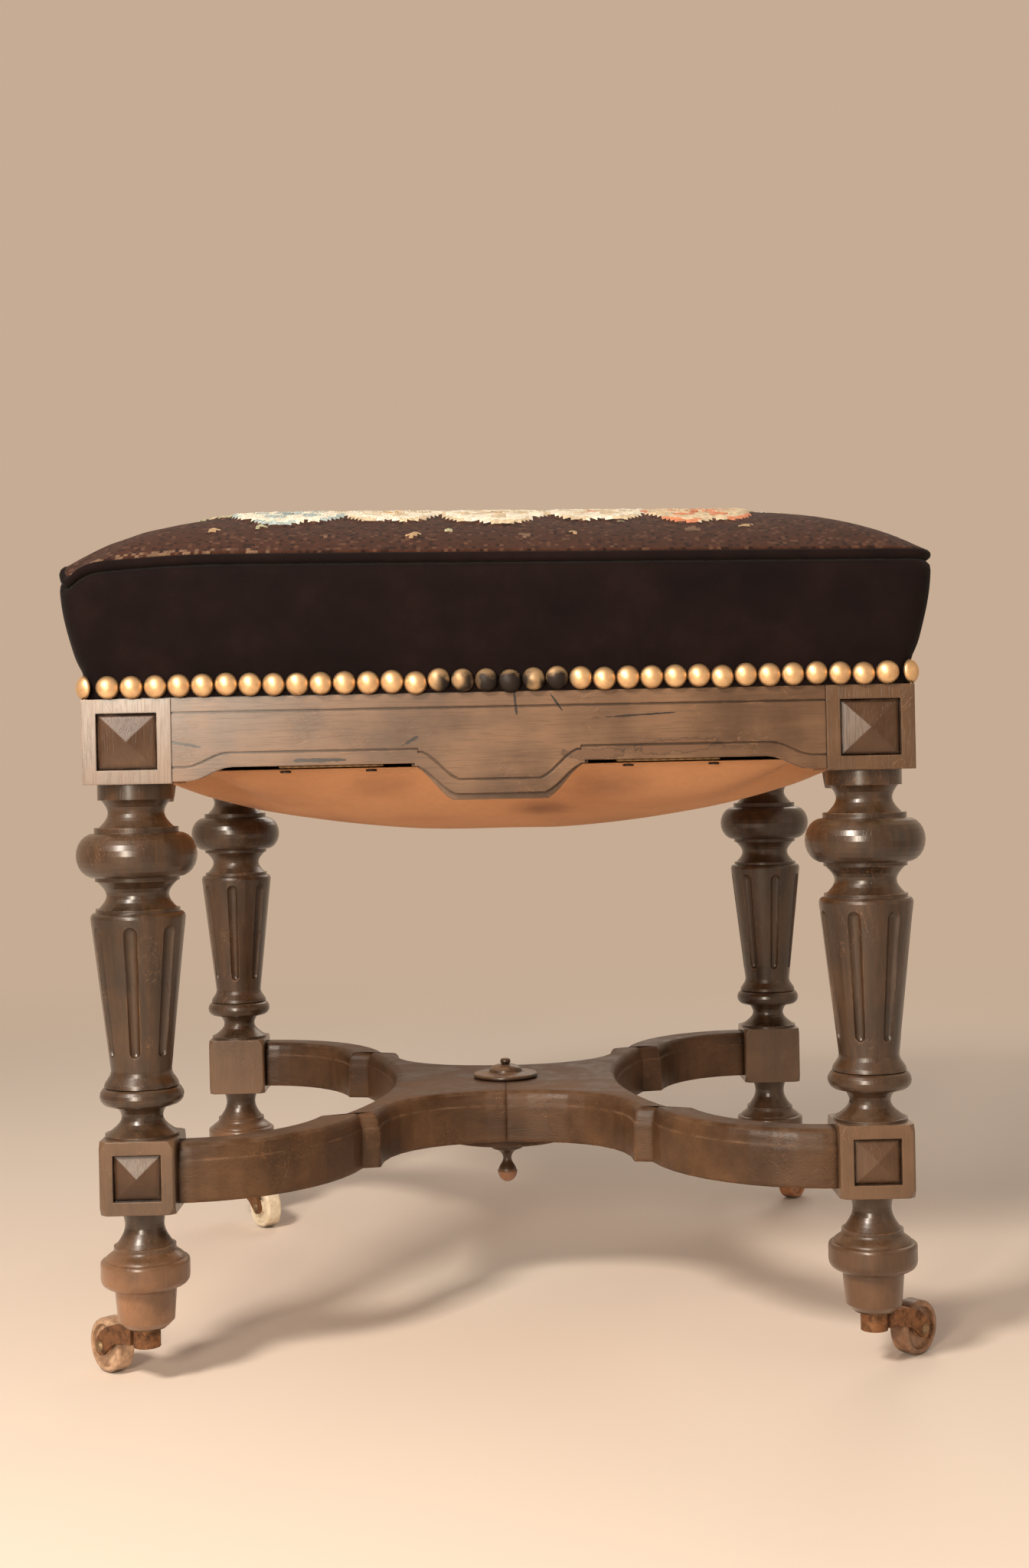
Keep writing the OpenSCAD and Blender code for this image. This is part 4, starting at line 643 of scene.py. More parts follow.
# %% Small helpers for meshes
def new_object(mesh_builder, name, finish):
    """Turns a bmesh into an object at the origin with one finish, shaded smooth."""
    mesh = bpy.data.meshes.new(name)
    mesh_builder.to_mesh(mesh)
    mesh_builder.free()
    mesh.materials.append(finish)
    mesh.polygons.foreach_set("use_smooth", [True] * len(mesh.polygons))
    item = bpy.data.objects.new(name, mesh)
    bpy.context.collection.objects.link(item)
    return item


def close_seams(mesh_builder, gap=0.01 * MM):
    """Merges the points that lie on each other and turns every face outwards."""
    bmesh.ops.remove_doubles(mesh_builder, verts=mesh_builder.verts[:], dist=gap)
    bmesh.ops.recalc_face_normals(mesh_builder, faces=mesh_builder.faces[:])


def thicken(cloth, depth, offset):
    """Gives a cloth its thickness, inwards for an offset of -1 and to both sides for 0."""
    wall = cloth.modifiers.new("thickness", "SOLIDIFY")
    wall.thickness = depth
    wall.offset = offset


def lively(x, y, z, scale, seed=0.0):
    """Smooth noise from -1 to 1 at a point, the same on every run."""
    return noise.noise(Vector((x * scale + seed, y * scale - seed, z * scale + 2 * seed)))


def settle(piece, frames, held, pressure=0.0, gravity=0.0, stiffness=15.0, limit=5 * MM):
    """Runs a cloth simulation on a piece and keeps its result, moving no point past a limit."""
    start = [v.co.copy() for v in piece.data.vertices]
    pins = piece.vertex_groups.new(name="held")
    for index, weight in held.items():
        pins.add([index], weight, "REPLACE")
    cloth = piece.modifiers.new("settle", "CLOTH")
    cloth.settings.quality = 6
    cloth.settings.mass = 0.3
    cloth.settings.tension_stiffness = stiffness
    cloth.settings.compression_stiffness = stiffness
    cloth.settings.bending_stiffness = 0.4
    cloth.settings.vertex_group_mass = pins.name
    cloth.settings.use_pressure = pressure > 0
    cloth.settings.uniform_pressure_force = pressure
    cloth.settings.effector_weights.gravity = gravity
    cloth.point_cache.frame_end = frames
    scene = bpy.context.scene
    for step in range(1, frames + 1):
        scene.frame_set(step)
    ready = piece.evaluated_get(bpy.context.evaluated_depsgraph_get()).to_mesh()
    ends = [v.co.copy() for v in ready.vertices]
    piece.modifiers.remove(cloth)
    piece.vertex_groups.remove(pins)
    scene.frame_set(1)
    farthest = 0.0
    for vertex, before, after in zip(piece.data.vertices, start, ends):
        moved = after - before
        farthest = max(farthest, moved.length)
        if moved.length > limit:
            moved *= limit / moved.length
        vertex.co = before + moved
    piece.data.update()
    print(piece.name, "settled, farthest point", round(farthest / MM, 1), "mm")


print("mesh helpers ready")

# %% [markdown]
# ## The stuffing
# Under the covers lies a firm pad of curled hair. It is a closed, crowned form, so it starts as a
# cube whose faces are cut into a grid and wrapped onto the seat's shape. Then a little pressure in
# a cloth simulation rounds it out between the edges that are tacked down, which makes it bulge
# the way a stuffed pad does.

# %% Stuffing finish
hair_finish, hair_tree, hair_shader = new_finish("curled_hair", Roughness=0.9)
hair_noise = cloudy(hair_tree, placed(hair_tree), 320.0, 6.0, distortion=2.5)
hair_colour = blend_colours(hair_tree, hair_noise, shade(70, 48, 30), shade(176, 146, 104))
connect(hair_tree, hair_shader, hair_colour, height=hair_noise, relief=1.2 * MM)

# %% Shape the pad
PAD_CUTS = 27
PAD_GAP = 0.3 * MM
PAD_UP = 18 * MM
ON_FACE = 0.999
pad_inset = FABRIC + PAD_GAP
pad_low = WOOD_TOP + PAD_UP

pad_mesh = bmesh.new()
bmesh.ops.create_cube(pad_mesh, size=2.0)
bmesh.ops.subdivide_edges(pad_mesh, edges=pad_mesh.edges[:], cuts=PAD_CUTS, use_grid_fill=True)
for vertex in pad_mesh.verts:
    u, v, w = vertex.co
    out = max(abs(u), abs(v))
    if out < 1e-9:
        vertex.co = (0, 0, CROWN - pad_inset if w > 0 else pad_low)
        continue
    seam = seam_height(u, v) - WELT_R
    z = pad_low + (seam - pad_low) * (w + 1) / 2
    wide = swell(u, v, z) if out > ON_FACE else FLARE
    half = HALF + wide - pad_inset
    rim = reach(u, v, half, SEAM_R - pad_inset)
    square = math.hypot(u, v) / out
    corner_pull = 1 + (rim / square / half - 1) * out ** 4
    x, y = (c * half * corner_pull for c in (u, v))
    if w > ON_FACE:
        z = dome_height(x, y, pad_inset)
    vertex.co = (x, y, z if w > -ON_FACE else pad_low)
bmesh.ops.recalc_face_normals(pad_mesh, faces=pad_mesh.faces[:])
seat_pad = new_object(pad_mesh, "seat_pad", hair_finish)
print("pad faces", len(seat_pad.data.polygons))

# %% Let the pad fill out
PAD_LIMIT = 3 * MM
PAD_FRAMES = 14
PAD_PRESSURE = 2.0
TACKED = 8 * MM
NEAR_SEAM = 3 * MM
SEWN = 6 * MM
held = {}
for vertex in seat_pad.data.vertices:
    x, y, z = vertex.co
    level = abs(z - seam_height(x, y)) < NEAR_SEAM
    if z < pad_low + TACKED:
        held[vertex.index] = 1.0
    elif level and reach(x, y, HALF + FLARE - pad_inset, SEAM_R) - math.hypot(x, y) < SEWN:
        held[vertex.index] = 0.9
settle(seat_pad, PAD_FRAMES, held, pressure=PAD_PRESSURE, limit=PAD_LIMIT)
pad_surface = BVHTree.FromPolygons([v.co.copy() for v in seat_pad.data.vertices],
                                   [p.vertices[:] for p in seat_pad.data.polygons])
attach(seat_pad, "frame")
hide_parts("stuffing")

# %% [markdown]
# ## The needlework top
# The cover is wool on canvas, one stitch to a cell, so its mesh is a grid with one face for each
# stitch. The grid is drawn over the pad, its rim is pulled to the seam, and each face takes one
# colour of yarn. The flowers are a traditional kind of bouquet: a round of roses in cream, coral and
# blue with sage leaves, inside a square garland of paler roses, on a brown-black ground with a
# scatter of small buds.

# %% Needlework colours and motifs
YARN = {"ground": (68, 42, 32), "ground_dark": (46, 28, 22), "fleck": (90, 62, 48),
        "worn": (118, 92, 73), "cream": (250, 236, 214), "ivory": (222, 200, 166),
        "sand": (190, 158, 120), "coral": (222, 142, 104), "rust": (168, 92, 62),
        "sky": (176, 190, 186), "slate": (116, 130, 130), "sage": (176, 172, 138),
        "moss": (124, 118, 86), "ochre": (206, 160, 90)}
CENTRE_ROSE = (0, 0, 54, 7, 0.2, "cream", "ivory", "sand")  # x, y, radius, petals, turn, three yarns
RING_RADIUS = 104
RING_ROSE = 34
RING_YARNS = (("coral", "rust", "ochre"), ("cream", "ivory", "rust"), ("sky", "slate", "cream"),
              ("cream", "ivory", "ochre"))
GARLAND_AT = 167
GARLAND_ROSE = 33
GARLAND_YARNS = (("cream", "ivory", "sand"), ("cream", "ivory", "coral"), ("ivory", "coral", "rust"),
                 ("cream", "sky", "slate"), ("cream", "ivory", "ochre"))
GARLAND_STEP = 58
ROSES = [CENTRE_ROSE]
for k in range(8):
    turn = math.pi / 4 * k
    ROSES.append((RING_RADIUS * math.cos(turn), RING_RADIUS * math.sin(turn), RING_ROSE, 5 + k % 2, turn,
                  *RING_YARNS[k % 4]))
for side in range(4):
    for k in range(-2, 3):
        at = Matrix.Rotation(side * math.pi / 2, 2) @ Vector((k * GARLAND_STEP, 6 * (k % 2) - GARLAND_AT))
        ROSES.append((at.x, at.y, GARLAND_ROSE, 5 + k % 2, k + side, *GARLAND_YARNS[(k + side) % 5]))
LEAF_SHARE = 0.55
LEAF_LIMIT = 172
LEAF_WIDE = 0.34
BUDS_A_SIDE = 10
BUDS_AT = 208
RIM_WORN = 229.5
RIM_WORN_TO = -120
DARK_SHARE, FLECK_SHARE, WORN_SHARE = 0.16, 0.10, 0.4
SHADE_SPREAD = 0.09


def paint(colours, where, yarn):
    colours[where] = YARN[yarn]


def draw_leaf(colours, x, y, at, turn, long):
    """One pointed leaf, dark on one half, starting at a point and lying along an angle."""
    along = (x - at[0]) * math.cos(turn) + (y - at[1]) * math.sin(turn)
    across = -(x - at[0]) * math.sin(turn) + (y - at[1]) * math.cos(turn)
    share = np.clip(along / long, 0, 1)
    wide = LEAF_WIDE * long * np.sin(np.pi * share) + 0.4
    inside = (along > 0) & (along < long) & (np.abs(across) < wide)
    paint(colours, inside & (across > 0), "sage")
    paint(colours, inside & (across <= 0), "moss")


def draw_rose(colours, x, y, rose):
    """Petals in three shades round a small heart."""
    rx, ry, radius, petals, turn, outer, middle, inner = rose
    away = np.hypot(x - rx, y - ry)
    angle = np.arctan2(y - ry, x - rx) + turn
    lobe = 0.8 + 0.2 * np.abs(np.cos(petals * angle / 2)) ** 0.6
    share = away / (radius * lobe)
    curl = np.sin(petals * angle + away * 0.16)
    paint(colours, share < 1, outer)
    paint(colours, (share < 1) & (share > 0.9) & (curl < 0.3), middle)
    paint(colours, (share < 0.68) & (curl > -0.2), middle)
    paint(colours, (share < 0.45) & (curl < 0.35), outer)
    paint(colours, (share < 0.3) & (curl > -0.5), middle)
    paint(colours, share < 0.17, inner)


def needlework(x, y, rng):
    """Yarn colour of each stitch at x, y in millimetres, on the scale of 0 to 255."""
    colours = np.empty((len(x), 3))
    paint(colours, slice(None), "ground")
    paint(colours, rng.random(len(x)) < DARK_SHARE, "ground_dark")
    paint(colours, rng.random(len(x)) < FLECK_SHARE, "fleck")
    paint(colours, (y < -RIM_WORN) & (x < RIM_WORN_TO) & (rng.random(len(x)) < WORN_SHARE), "worn")
    for rose in ROSES:
        for k in range(rose[3] + 2):
            turn = rose[4] + 2 * math.pi * (k + 0.5) / (rose[3] + 2)
            at = (rose[0] + 0.86 * rose[2] * math.cos(turn), rose[1] + 0.86 * rose[2] * math.sin(turn))
            if max(abs(at[0]), abs(at[1])) < LEAF_LIMIT:
                draw_leaf(colours, x, y, at, turn + 0.4, LEAF_SHARE * rose[2])
    for rose in ROSES:
        draw_rose(colours, x, y, rose)
    for side in range(4):
        for k in range(BUDS_A_SIDE):
            along = (k - (BUDS_A_SIDE - 1) / 2) * 2 * GARLAND_AT / BUDS_A_SIDE + rng.uniform(-14, 14)
            out = BUDS_AT + rng.uniform(-14, 10)
            sx, sy = [(along, -out), (out, along), (-along, out), (-out, -along)][side]
            bud = np.hypot(x - sx, y - sy) < rng.uniform(2.2, 4.6) * rng.uniform(0.5, 1.2, len(x))
            paint(colours, bud, ("sand", "sage", "worn")[k % 3])
    return colours * (1 + rng.uniform(-SHADE_SPREAD, SHADE_SPREAD, (len(x), 1)))


print("motifs:", len(ROSES), "roses and", 4 * BUDS_A_SIDE, "buds")

# %% Needlework finish
wool_finish, wool_tree, wool_shader = new_finish("needlework_wool", Roughness=0.9,
                                                 Specular_IOR_Level=0.1, Sheen_Weight=0.06)
STITCH = 2.0 * MM
wool_where = placed(wool_tree)
wool_parts = add(wool_tree, "SeparateXYZ", {0: wool_where}).outputs
slant = math_node(wool_tree, "ADD", wool_parts[0], wool_parts[1])
rows = math_node(wool_tree, "SINE", times(wool_tree, slant, 2 * math.pi / STITCH))
fibres = cloudy(wool_tree, wool_where, 1500.0, 3.0)
wool_height = scaled(wool_tree, rows, 0.35, fibres)
yarn_colour = add(wool_tree, "VertexColor", layer_name="yarn").outputs["Color"]
wool_shade_and_dirt = use_group(wool_tree, shade_and_dust_group, Vector=wool_where, Reach=4 * MM)["Shade_And_Grime"]
wool_colour = blend_colours(wool_tree, times(wool_tree, fibres, 0.25), yarn_colour, shade(40, 27, 22))
# Darker in hollows and against the welt by the occlusion mask: painted shade as well as grime.
wool_colour = blend_colours(wool_tree, times(wool_tree, wool_shade_and_dirt, 0.5), wool_colour, shade(30, 20, 16))
connect(wool_tree, wool_shader, wool_colour, height=wool_height, relief=0.35 * MM)

# %% Draw the grid over the pad and stitch it
TOP_CELLS = 55
TOP_THICK = 1.6 * MM
RIM_SPAN = 0.12
FOLLOWS_PAD = 0.5
PUCKER = 0.8 * MM
PUCKER_FROM = 0.55
top_mesh = bmesh.new()
bmesh.ops.create_grid(top_mesh, x_segments=TOP_CELLS, y_segments=TOP_CELLS, size=1.0)
for vertex in top_mesh.verts:
    u, v, _ = vertex.co
    out = max(abs(u), abs(v))
    half = HALF + FLARE
    rim = reach(u, v, half, SEAM_R) if out > 0 else 0
    corner_pull = 1 + (rim * out / math.hypot(u, v) / half - 1) * out ** 4 if out > 0 else 1
    x, y = u * half * corner_pull, v * half * corner_pull
    z = dome_height(x, y, lift=WELT_R)
    below = pad_surface.ray_cast(Vector((x, y, 1)), Vector((0, 0, -1)))[0]
    if below:
        free = min(1.0, max(0.0, (1 - out) / RIM_SPAN))
        z += (below.z + pad_inset - dome_height(x, y)) * free * FOLLOWS_PAD
    pucker = lively(x, y, 0, 38, 3.1) * PUCKER * max(0.0, out - PUCKER_FROM)
    vertex.co = (x, y, z + pucker)
tapestry_top = new_object(top_mesh, "tapestry_top", wool_finish)

finer = tapestry_top.modifiers.new("finer", "SUBSURF")
finer.levels = finer.render_levels = 2
smoothed = tapestry_top.evaluated_get(bpy.context.evaluated_depsgraph_get())
whole = bpy.data.meshes.new_from_object(smoothed)
tapestry_top.modifiers.remove(finer)
tapestry_top.data = whole
whole.name = "tapestry_top"
print("stitches", len(whole.polygons))

# %% Colour each stitch and raise the flowers a little
TUFT = 2.6 * MM
FUZZ = 0.12 * MM
TUFT_FROM = 0.35
TUFT_RISE = 2.5
rng = np.random.default_rng(7)
count = len(whole.polygons)
centres = np.empty(count * 3)
whole.polygons.foreach_get("center", centres)
centres = centres.reshape(count, 3) / MM
stitch_colours = np.clip(needlework(centres[:, 0], centres[:, 1], rng), 0, 255)
linear = (stitch_colours / 255) ** 2.2
corners = np.repeat(np.concatenate([linear, np.ones((count, 1))], axis=1), 4, axis=0)
yarn_layer = whole.color_attributes.new("yarn", "FLOAT_COLOR", "CORNER")
yarn_layer.data.foreach_set("color", corners.ravel())

raised = np.zeros(len(whole.vertices))
brightness = stitch_colours.sum(axis=1) / 765
for polygon in whole.polygons:
    for index in polygon.vertices:
        raised[index] += min(1.0, max(0.0, brightness[polygon.index] - TUFT_FROM) * TUFT_RISE) / 4
for vertex in whole.vertices:
    vertex.co.z += TUFT * raised[vertex.index] * (0.6 + 0.4 * rng.random()) + FUZZ * rng.random()

thicken(tapestry_top, TOP_THICK, -1)
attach(tapestry_top, "frame")
top_area = sum(p.area for p in whole.polygons)
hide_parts("tapestry_cover")
print("top area", round(top_area, 4), "m2")

# %% [markdown]
# ## The velvet band
# A strip of dark velvet goes round the side of the seat, sewn to the welt above and held by the
# nails below. It is a grid bent round the outline. The pad puffs it out, the seam tucks it in, and
# each nail pulls a small dimple. Velvet looks dark face-on and paler at a glancing angle, which the
# shader's sheen gives.

# %% Velvet finish
velvet_finish, velvet_tree, velvet_shader = new_finish("velvet", Roughness=0.85, Specular_IOR_Level=0.08,
                                                       Sheen_Weight=0.05, Sheen_Roughness=0.4)
velvet_where = placed(velvet_tree)
pile = cloudy(velvet_tree, velvet_where, 2200.0, 2.0)
crushed = span(velvet_tree, cloudy(velvet_tree, velvet_where, 28.0, 4.0, 0.6), 0.3, 0.75)
velvet_shade_and_soil = use_group(velvet_tree, shade_and_dust_group, Vector=velvet_where, Reach=10 * MM)["Shade_And_Grime"]
velvet_colour = blend_colours(velvet_tree, crushed, shade(18, 11, 11), shade(29, 18, 17))
# Darker under the welt and among the nails by the occlusion mask: painted shade as well as soil.
velvet_colour = blend_colours(velvet_tree, times(velvet_tree, velvet_shade_and_soil, 0.6), velvet_colour,
                              shade(18, 11, 10))
connect(velvet_tree, velvet_shader, velvet_colour, height=pile, relief=0.25 * MM)

# %% Bend the band round the seat
BAND_COLUMNS = 560
BAND_ROWS = 22
NAIL_COUNT = 140
BAND_THICK = 1.4 * MM
BAND_GAP = 0.4 * MM
UNDER_WELT = 0.6 * MM
DIMPLE = 0.5 * MM
DIMPLE_SPAN = 9 * MM
PUFF = 2.4 * MM
PUFF_FROM, PUFF_RISE, PUFF_FALL = 0.08, 0.3, 0.05
TUCK = 1.0 * MM
TUCK_FROM, TUCK_SPAN = 0.9, 0.1
WRINKLE = 0.7 * MM
band_low = WOOD_TOP + BAND_GAP


def band_point(share, t):
    """A point on the velvet's face: share is the way round, t goes up from the wood to the welt."""
    guide, _ = outline(share, HALF + FLARE, SEAM_R)
    top = seam_height(*guide) - WELT_R + UNDER_WELT
    z = band_low + (top - band_low) * t
    wide = swell(guide.x, guide.y, z)
    corner = BAND_R + (SEAM_R - BAND_R) * wide / FLARE
    place, outward = outline(share, HALF + wide, corner)
    risen = min(1.0, max(0.0, (t - PUFF_FROM) / PUFF_RISE))
    puff = PUFF * math.sin(math.pi / 2 * risen) ** 2 * min(1.0, (1 - t) / PUFF_FALL)
    tuck = TUCK * max(0.0, (t - TUCK_FROM) / TUCK_SPAN) ** 2
    wrinkle = WRINKLE * math.sin(math.pi * t) * lively(place.x, place.y, z, 26, 1.7)
    nearest = abs((share * NAIL_COUNT) % 1 - 0.5) * 2
    dimple = DIMPLE * math.exp(-((z - NAIL_Z) / DIMPLE_SPAN) ** 2) * (2 - nearest)
    place = place + outward * (puff - tuck + wrinkle - dimple)
    return Vector((place.x, place.y, z))


band_mesh = bmesh.new()
bmesh.ops.create_grid(band_mesh, x_segments=BAND_COLUMNS, y_segments=BAND_ROWS, size=0.5)
for vertex in band_mesh.verts:
    vertex.co = band_point((vertex.co.x + 0.5) % 1.0, vertex.co.y + 0.5)
close_seams(band_mesh)
velvet_band = new_object(band_mesh, "velvet_side_band", velvet_finish)
facing_out = sum(p.normal.dot(Vector((p.center.x, p.center.y, 0))) for p in velvet_band.data.polygons)
if facing_out < 0:
    velvet_band.data.flip_normals()
thicken(velvet_band, BAND_THICK, -1)
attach(velvet_band, "frame")
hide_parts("velvet_band")
print("band faces", len(velvet_band.data.polygons))

# %% [markdown]
# ## The welt
# The seam is covered by piping: a cord wrapped in the same velvet. It is a ring of velvet tube
# that follows the seam, and dips with it at the corners.

# %% Sew the welt
WELT_AROUND = 600
WELT_SIDES = 12
WELT_UNEVEN = 0.05
WELT_SLACK = 0.2 * MM
WELT_IN = 0.4 * MM
welt_mesh = bmesh.new()
bmesh.ops.create_grid(welt_mesh, x_segments=WELT_AROUND, y_segments=WELT_SIDES, size=0.5)
for vertex in welt_mesh.verts:
    share = (vertex.co.x + 0.5) % 1.0
    turn = 2 * math.pi * (vertex.co.y + 0.5)
    place, outward = outline(share, HALF + FLARE, SEAM_R)
    fat = (WELT_R - WELT_SLACK) * (1 + WELT_UNEVEN * lively(place.x, place.y, 0, 160, 0.5))
    place = place + outward * (fat * math.cos(turn) - WELT_IN)
    vertex.co = (place.x, place.y, seam_height(*place) + fat * math.sin(turn))
close_seams(welt_mesh)
welt_ring = new_object(welt_mesh, "velvet_welt", velvet_finish)
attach(welt_ring, "frame")
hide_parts("welt")
print("welt faces", len(welt_ring.data.polygons))

# %% [markdown]
# ## The dome nails
# The nails stand head to head round the lower edge of the velvet. Each was hammered in by hand, so
# none is quite level with the next: every copy gets a small lift, tilt and swing of its own. One
# head is spun from an arc and copied, and it keeps to some hundred faces.

# %% Hammer in the nails
NAIL_R = 6.38 * MM
NAIL_H = 3.7 * MM
NAIL_STANDS = 2.0 * MM
NAIL_LIP = 0.7 * MM
NAIL_SMALLEST = 0.985
NAIL_TIP = 0.07
NAIL_LIFT = 0.3 * MM
NAIL_SINK = 0.1 * MM
ARC_STEPS = 5
NAIL_SEGMENTS = 20
one_nail = bmesh.new()
ball = (NAIL_R ** 2 + NAIL_H ** 2) / (2 * NAIL_H)
widest = math.asin(NAIL_R / ball)
arc = [one_nail.verts.new((ball * math.sin(widest * k / ARC_STEPS), 0,
                           NAIL_H - ball + ball * math.cos(widest * k / ARC_STEPS)))
       for k in range(ARC_STEPS + 1)]
arc.append(one_nail.verts.new((NAIL_R - NAIL_LIP, 0, 0)))
spun = [one_nail.edges.new(pair) for pair in zip(arc, arc[1:])]
bmesh.ops.spin(one_nail, geom=arc + spun, cent=(0, 0, 0), axis=(0, 0, 1), angle=2 * math.pi,
               steps=NAIL_SEGMENTS, use_merge=True, use_duplicate=False)
close_seams(one_nail, 0.001 * MM)
nail_template = bpy.data.meshes.new("one_nail")
one_nail.to_mesh(nail_template)
one_nail.free()

nails_mesh = bmesh.new()
nail_rng = np.random.default_rng(11)
for k in range(NAIL_COUNT):
    place, outward = outline((k + 0.5) / NAIL_COUNT, HALF, BAND_R)
    lift, swing, tilt, sink = nail_rng.normal(0, 1, 4)
    size = nail_rng.uniform(NAIL_SMALLEST, 1.0)
    before = len(nails_mesh.verts)
    nails_mesh.from_mesh(nail_template)
    nails_mesh.verts.ensure_lookup_table()
    head = nails_mesh.verts[before:]
    stand = Vector((outward.x, outward.y, 0)).to_track_quat("Z", "Y").to_matrix().to_4x4()
    tipped = Matrix.Rotation(NAIL_TIP * tilt, 4, "X") @ Matrix.Rotation(NAIL_TIP * swing, 4, "Y")
    out = outward * float(NAIL_STANDS + NAIL_SINK * sink)
    origin = Vector((place.x + out.x, place.y + out.y, NAIL_Z + NAIL_LIFT * lift))
    driven = Matrix.Translation(origin) @ stand @ tipped @ Matrix.Scale(size, 4)
    bmesh.ops.transform(nails_mesh, matrix=driven, verts=head)
nail_row = new_object(nails_mesh, "brass_nail_heads", nail_finish)
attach(nail_row, "frame")
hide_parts("dome_nails")
print("nail faces", len(nail_row.data.polygons))

# %% [markdown]
# ## The bottom cloth
# A square of cotton is tacked under the rails to catch the dust. Its corners are cut away round
# the legs, and with the years it has sagged like a hammock and taken brown stains. It starts as a
# sagging grid, and a cloth simulation then lets it hang a few millimetres more.

# %% Calico finish
calico_finish, calico_tree, calico_shader = new_finish("stained_calico", Roughness=0.9,
                                                       Sheen_Weight=0.05)
calico_where = placed(calico_tree)
calico_weave = use_group(calico_tree, weave_group, Vector=calico_where, Threads=1100.0)
blotches = cloudy(calico_tree, calico_where, 9.0, 4.0, distortion=0.6)
specks = cloudy(calico_tree, calico_where, 95.0, 5.0)
STAINS = [(0.061, -0.185, 0.032), (0.025, -0.135, 0.022), (-0.066, -0.192, 0.03), (0.09, 0.06, 0.05),
          (-0.11, 0.09, 0.035), (-0.15, -0.12, 0.02)]
calico_colour = blend_colours(calico_tree, span(calico_tree, blotches, 0.35, 0.7),
                              shade(208, 150, 103), shade(184, 128, 85))
STAIN_Z = 0.31
for sx, sy, size in STAINS:
    off = add(calico_tree, "VectorMath", {0: calico_where, 1: (sx, sy, STAIN_Z)},
              operation="DISTANCE").outputs["Value"]
    wobbly = scaled(calico_tree, specks, 0.012, off)
    stain = span(calico_tree, wobbly, size * 0.3, size * 1.4, 0.7, 0.0)
    calico_colour = blend_colours(calico_tree, stain, calico_colour, shade(112, 66, 42))
calico_colour = blend_colours(calico_tree, times(calico_tree, calico_weave["Slubs"], 0.25),
                              calico_colour, shade(136, 88, 54))
connect(calico_tree, calico_shader, calico_colour, height=calico_weave["Height"], relief=0.12 * MM)

# %% Cut, hang and stain the cloth
cloth_high = Vector(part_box("bottom_cloth")[1])
CLOTH_HALF = cloth_high.x
CLOTH_TOP = cloth_high.z
CLOTH_SAG = 33.5 * MM
CLOTH_IN = LEG_AT - 29 * MM
CLOTH_FLAT = 8 * MM
CLOTH_POWER = 3
CLOTH_CELLS = 76
CLOTH_THICK = 0.6 * MM
CLOTH_DOWN = 0.5 * MM
CLOTH_RUMPLE = 0.8 * MM
CLOTH_LIMIT = 5 * MM
CLOTH_FRAMES = 16
cloth_mesh = bmesh.new()
bmesh.ops.create_grid(cloth_mesh, x_segments=CLOTH_CELLS, y_segments=CLOTH_CELLS, size=CLOTH_HALF)
print("cloth half", round(CLOTH_HALF, 4), "top", round(CLOTH_TOP, 4), "notch", round(CLOTH_IN, 4))
for axis in ((1, 0, 0), (0, 1, 0)):
    for sign in (-1, 1):
        everything = cloth_mesh.verts[:] + cloth_mesh.edges[:] + cloth_mesh.faces[:]
        bmesh.ops.bisect_plane(cloth_mesh, geom=everything, dist=0.01 * MM,
                               plane_co=Vector(axis) * sign * CLOTH_IN, plane_no=axis)
notches = [f for f in cloth_mesh.faces
           if min(abs(f.calc_center_median().x), abs(f.calc_center_median().y)) > CLOTH_IN]
bmesh.ops.delete(cloth_mesh, geom=notches, context="FACES")


def cloth_share(x, y):
    """0 in the middle of the cloth and 1 where it is tacked down."""
    edge = CLOTH_HALF - CLOTH_FLAT
    inner = CLOTH_IN - CLOTH_FLAT
    square = max(abs(x), abs(y)) / edge
    notch = min(abs(x), abs(y)) / inner
    return min(1.0, max(square, notch))


for vertex in cloth_mesh.verts:
    x, y, _ = vertex.co
    share = cloth_share(x, y)
    hang = 1 - share ** CLOTH_POWER
    rumple = CLOTH_RUMPLE * hang * lively(x, y, 0, 18, 4.4)
    vertex.co.z = CLOTH_TOP - CLOTH_DOWN - CLOTH_SAG * hang + rumple
bottom_cloth = new_object(cloth_mesh, "bottom_calico", calico_finish)
held = {v.index: 1.0 for v in bottom_cloth.data.vertices
        if cloth_share(v.co.x, v.co.y) >= ON_FACE}
settle(bottom_cloth, CLOTH_FRAMES, held, gravity=1.0, stiffness=40.0, limit=CLOTH_LIMIT)
thicken(bottom_cloth, CLOTH_THICK, 0)
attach(bottom_cloth, "frame")
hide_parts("bottom_cloth")

# %% [markdown]
# ## Inside the seat
# Jute straps are woven over and under each other below the springs, and a coarse canvas is tied
# over them. Nobody sees them, but a seat without them would be a lie, and someone who takes the
# cover off in a scene will find them.

# %% Jute and canvas finishes
def coarse_cloth(name, dark, light, threads, relief):
    finish, tree, shader = new_finish(name, Roughness=0.92)
    where = placed(tree)
    thread = use_group(tree, weave_group, Vector=where, Threads=threads)
    colour = blend_colours(tree, thread["Height"], dark, light)
    colour = blend_colours(tree, times(tree, thread["Slubs"], 0.4), colour, dark)
    connect(tree, shader, colour, height=thread["Height"], relief=relief)
    return finish


jute_finish = coarse_cloth("jute_webbing", shade(120, 90, 58), shade(188, 154, 108), 420.0, 0.4 * MM)
canvas_finish = coarse_cloth("spring_canvas", shade(132, 104, 70), shade(198, 168, 122), 600.0,
                             0.3 * MM)

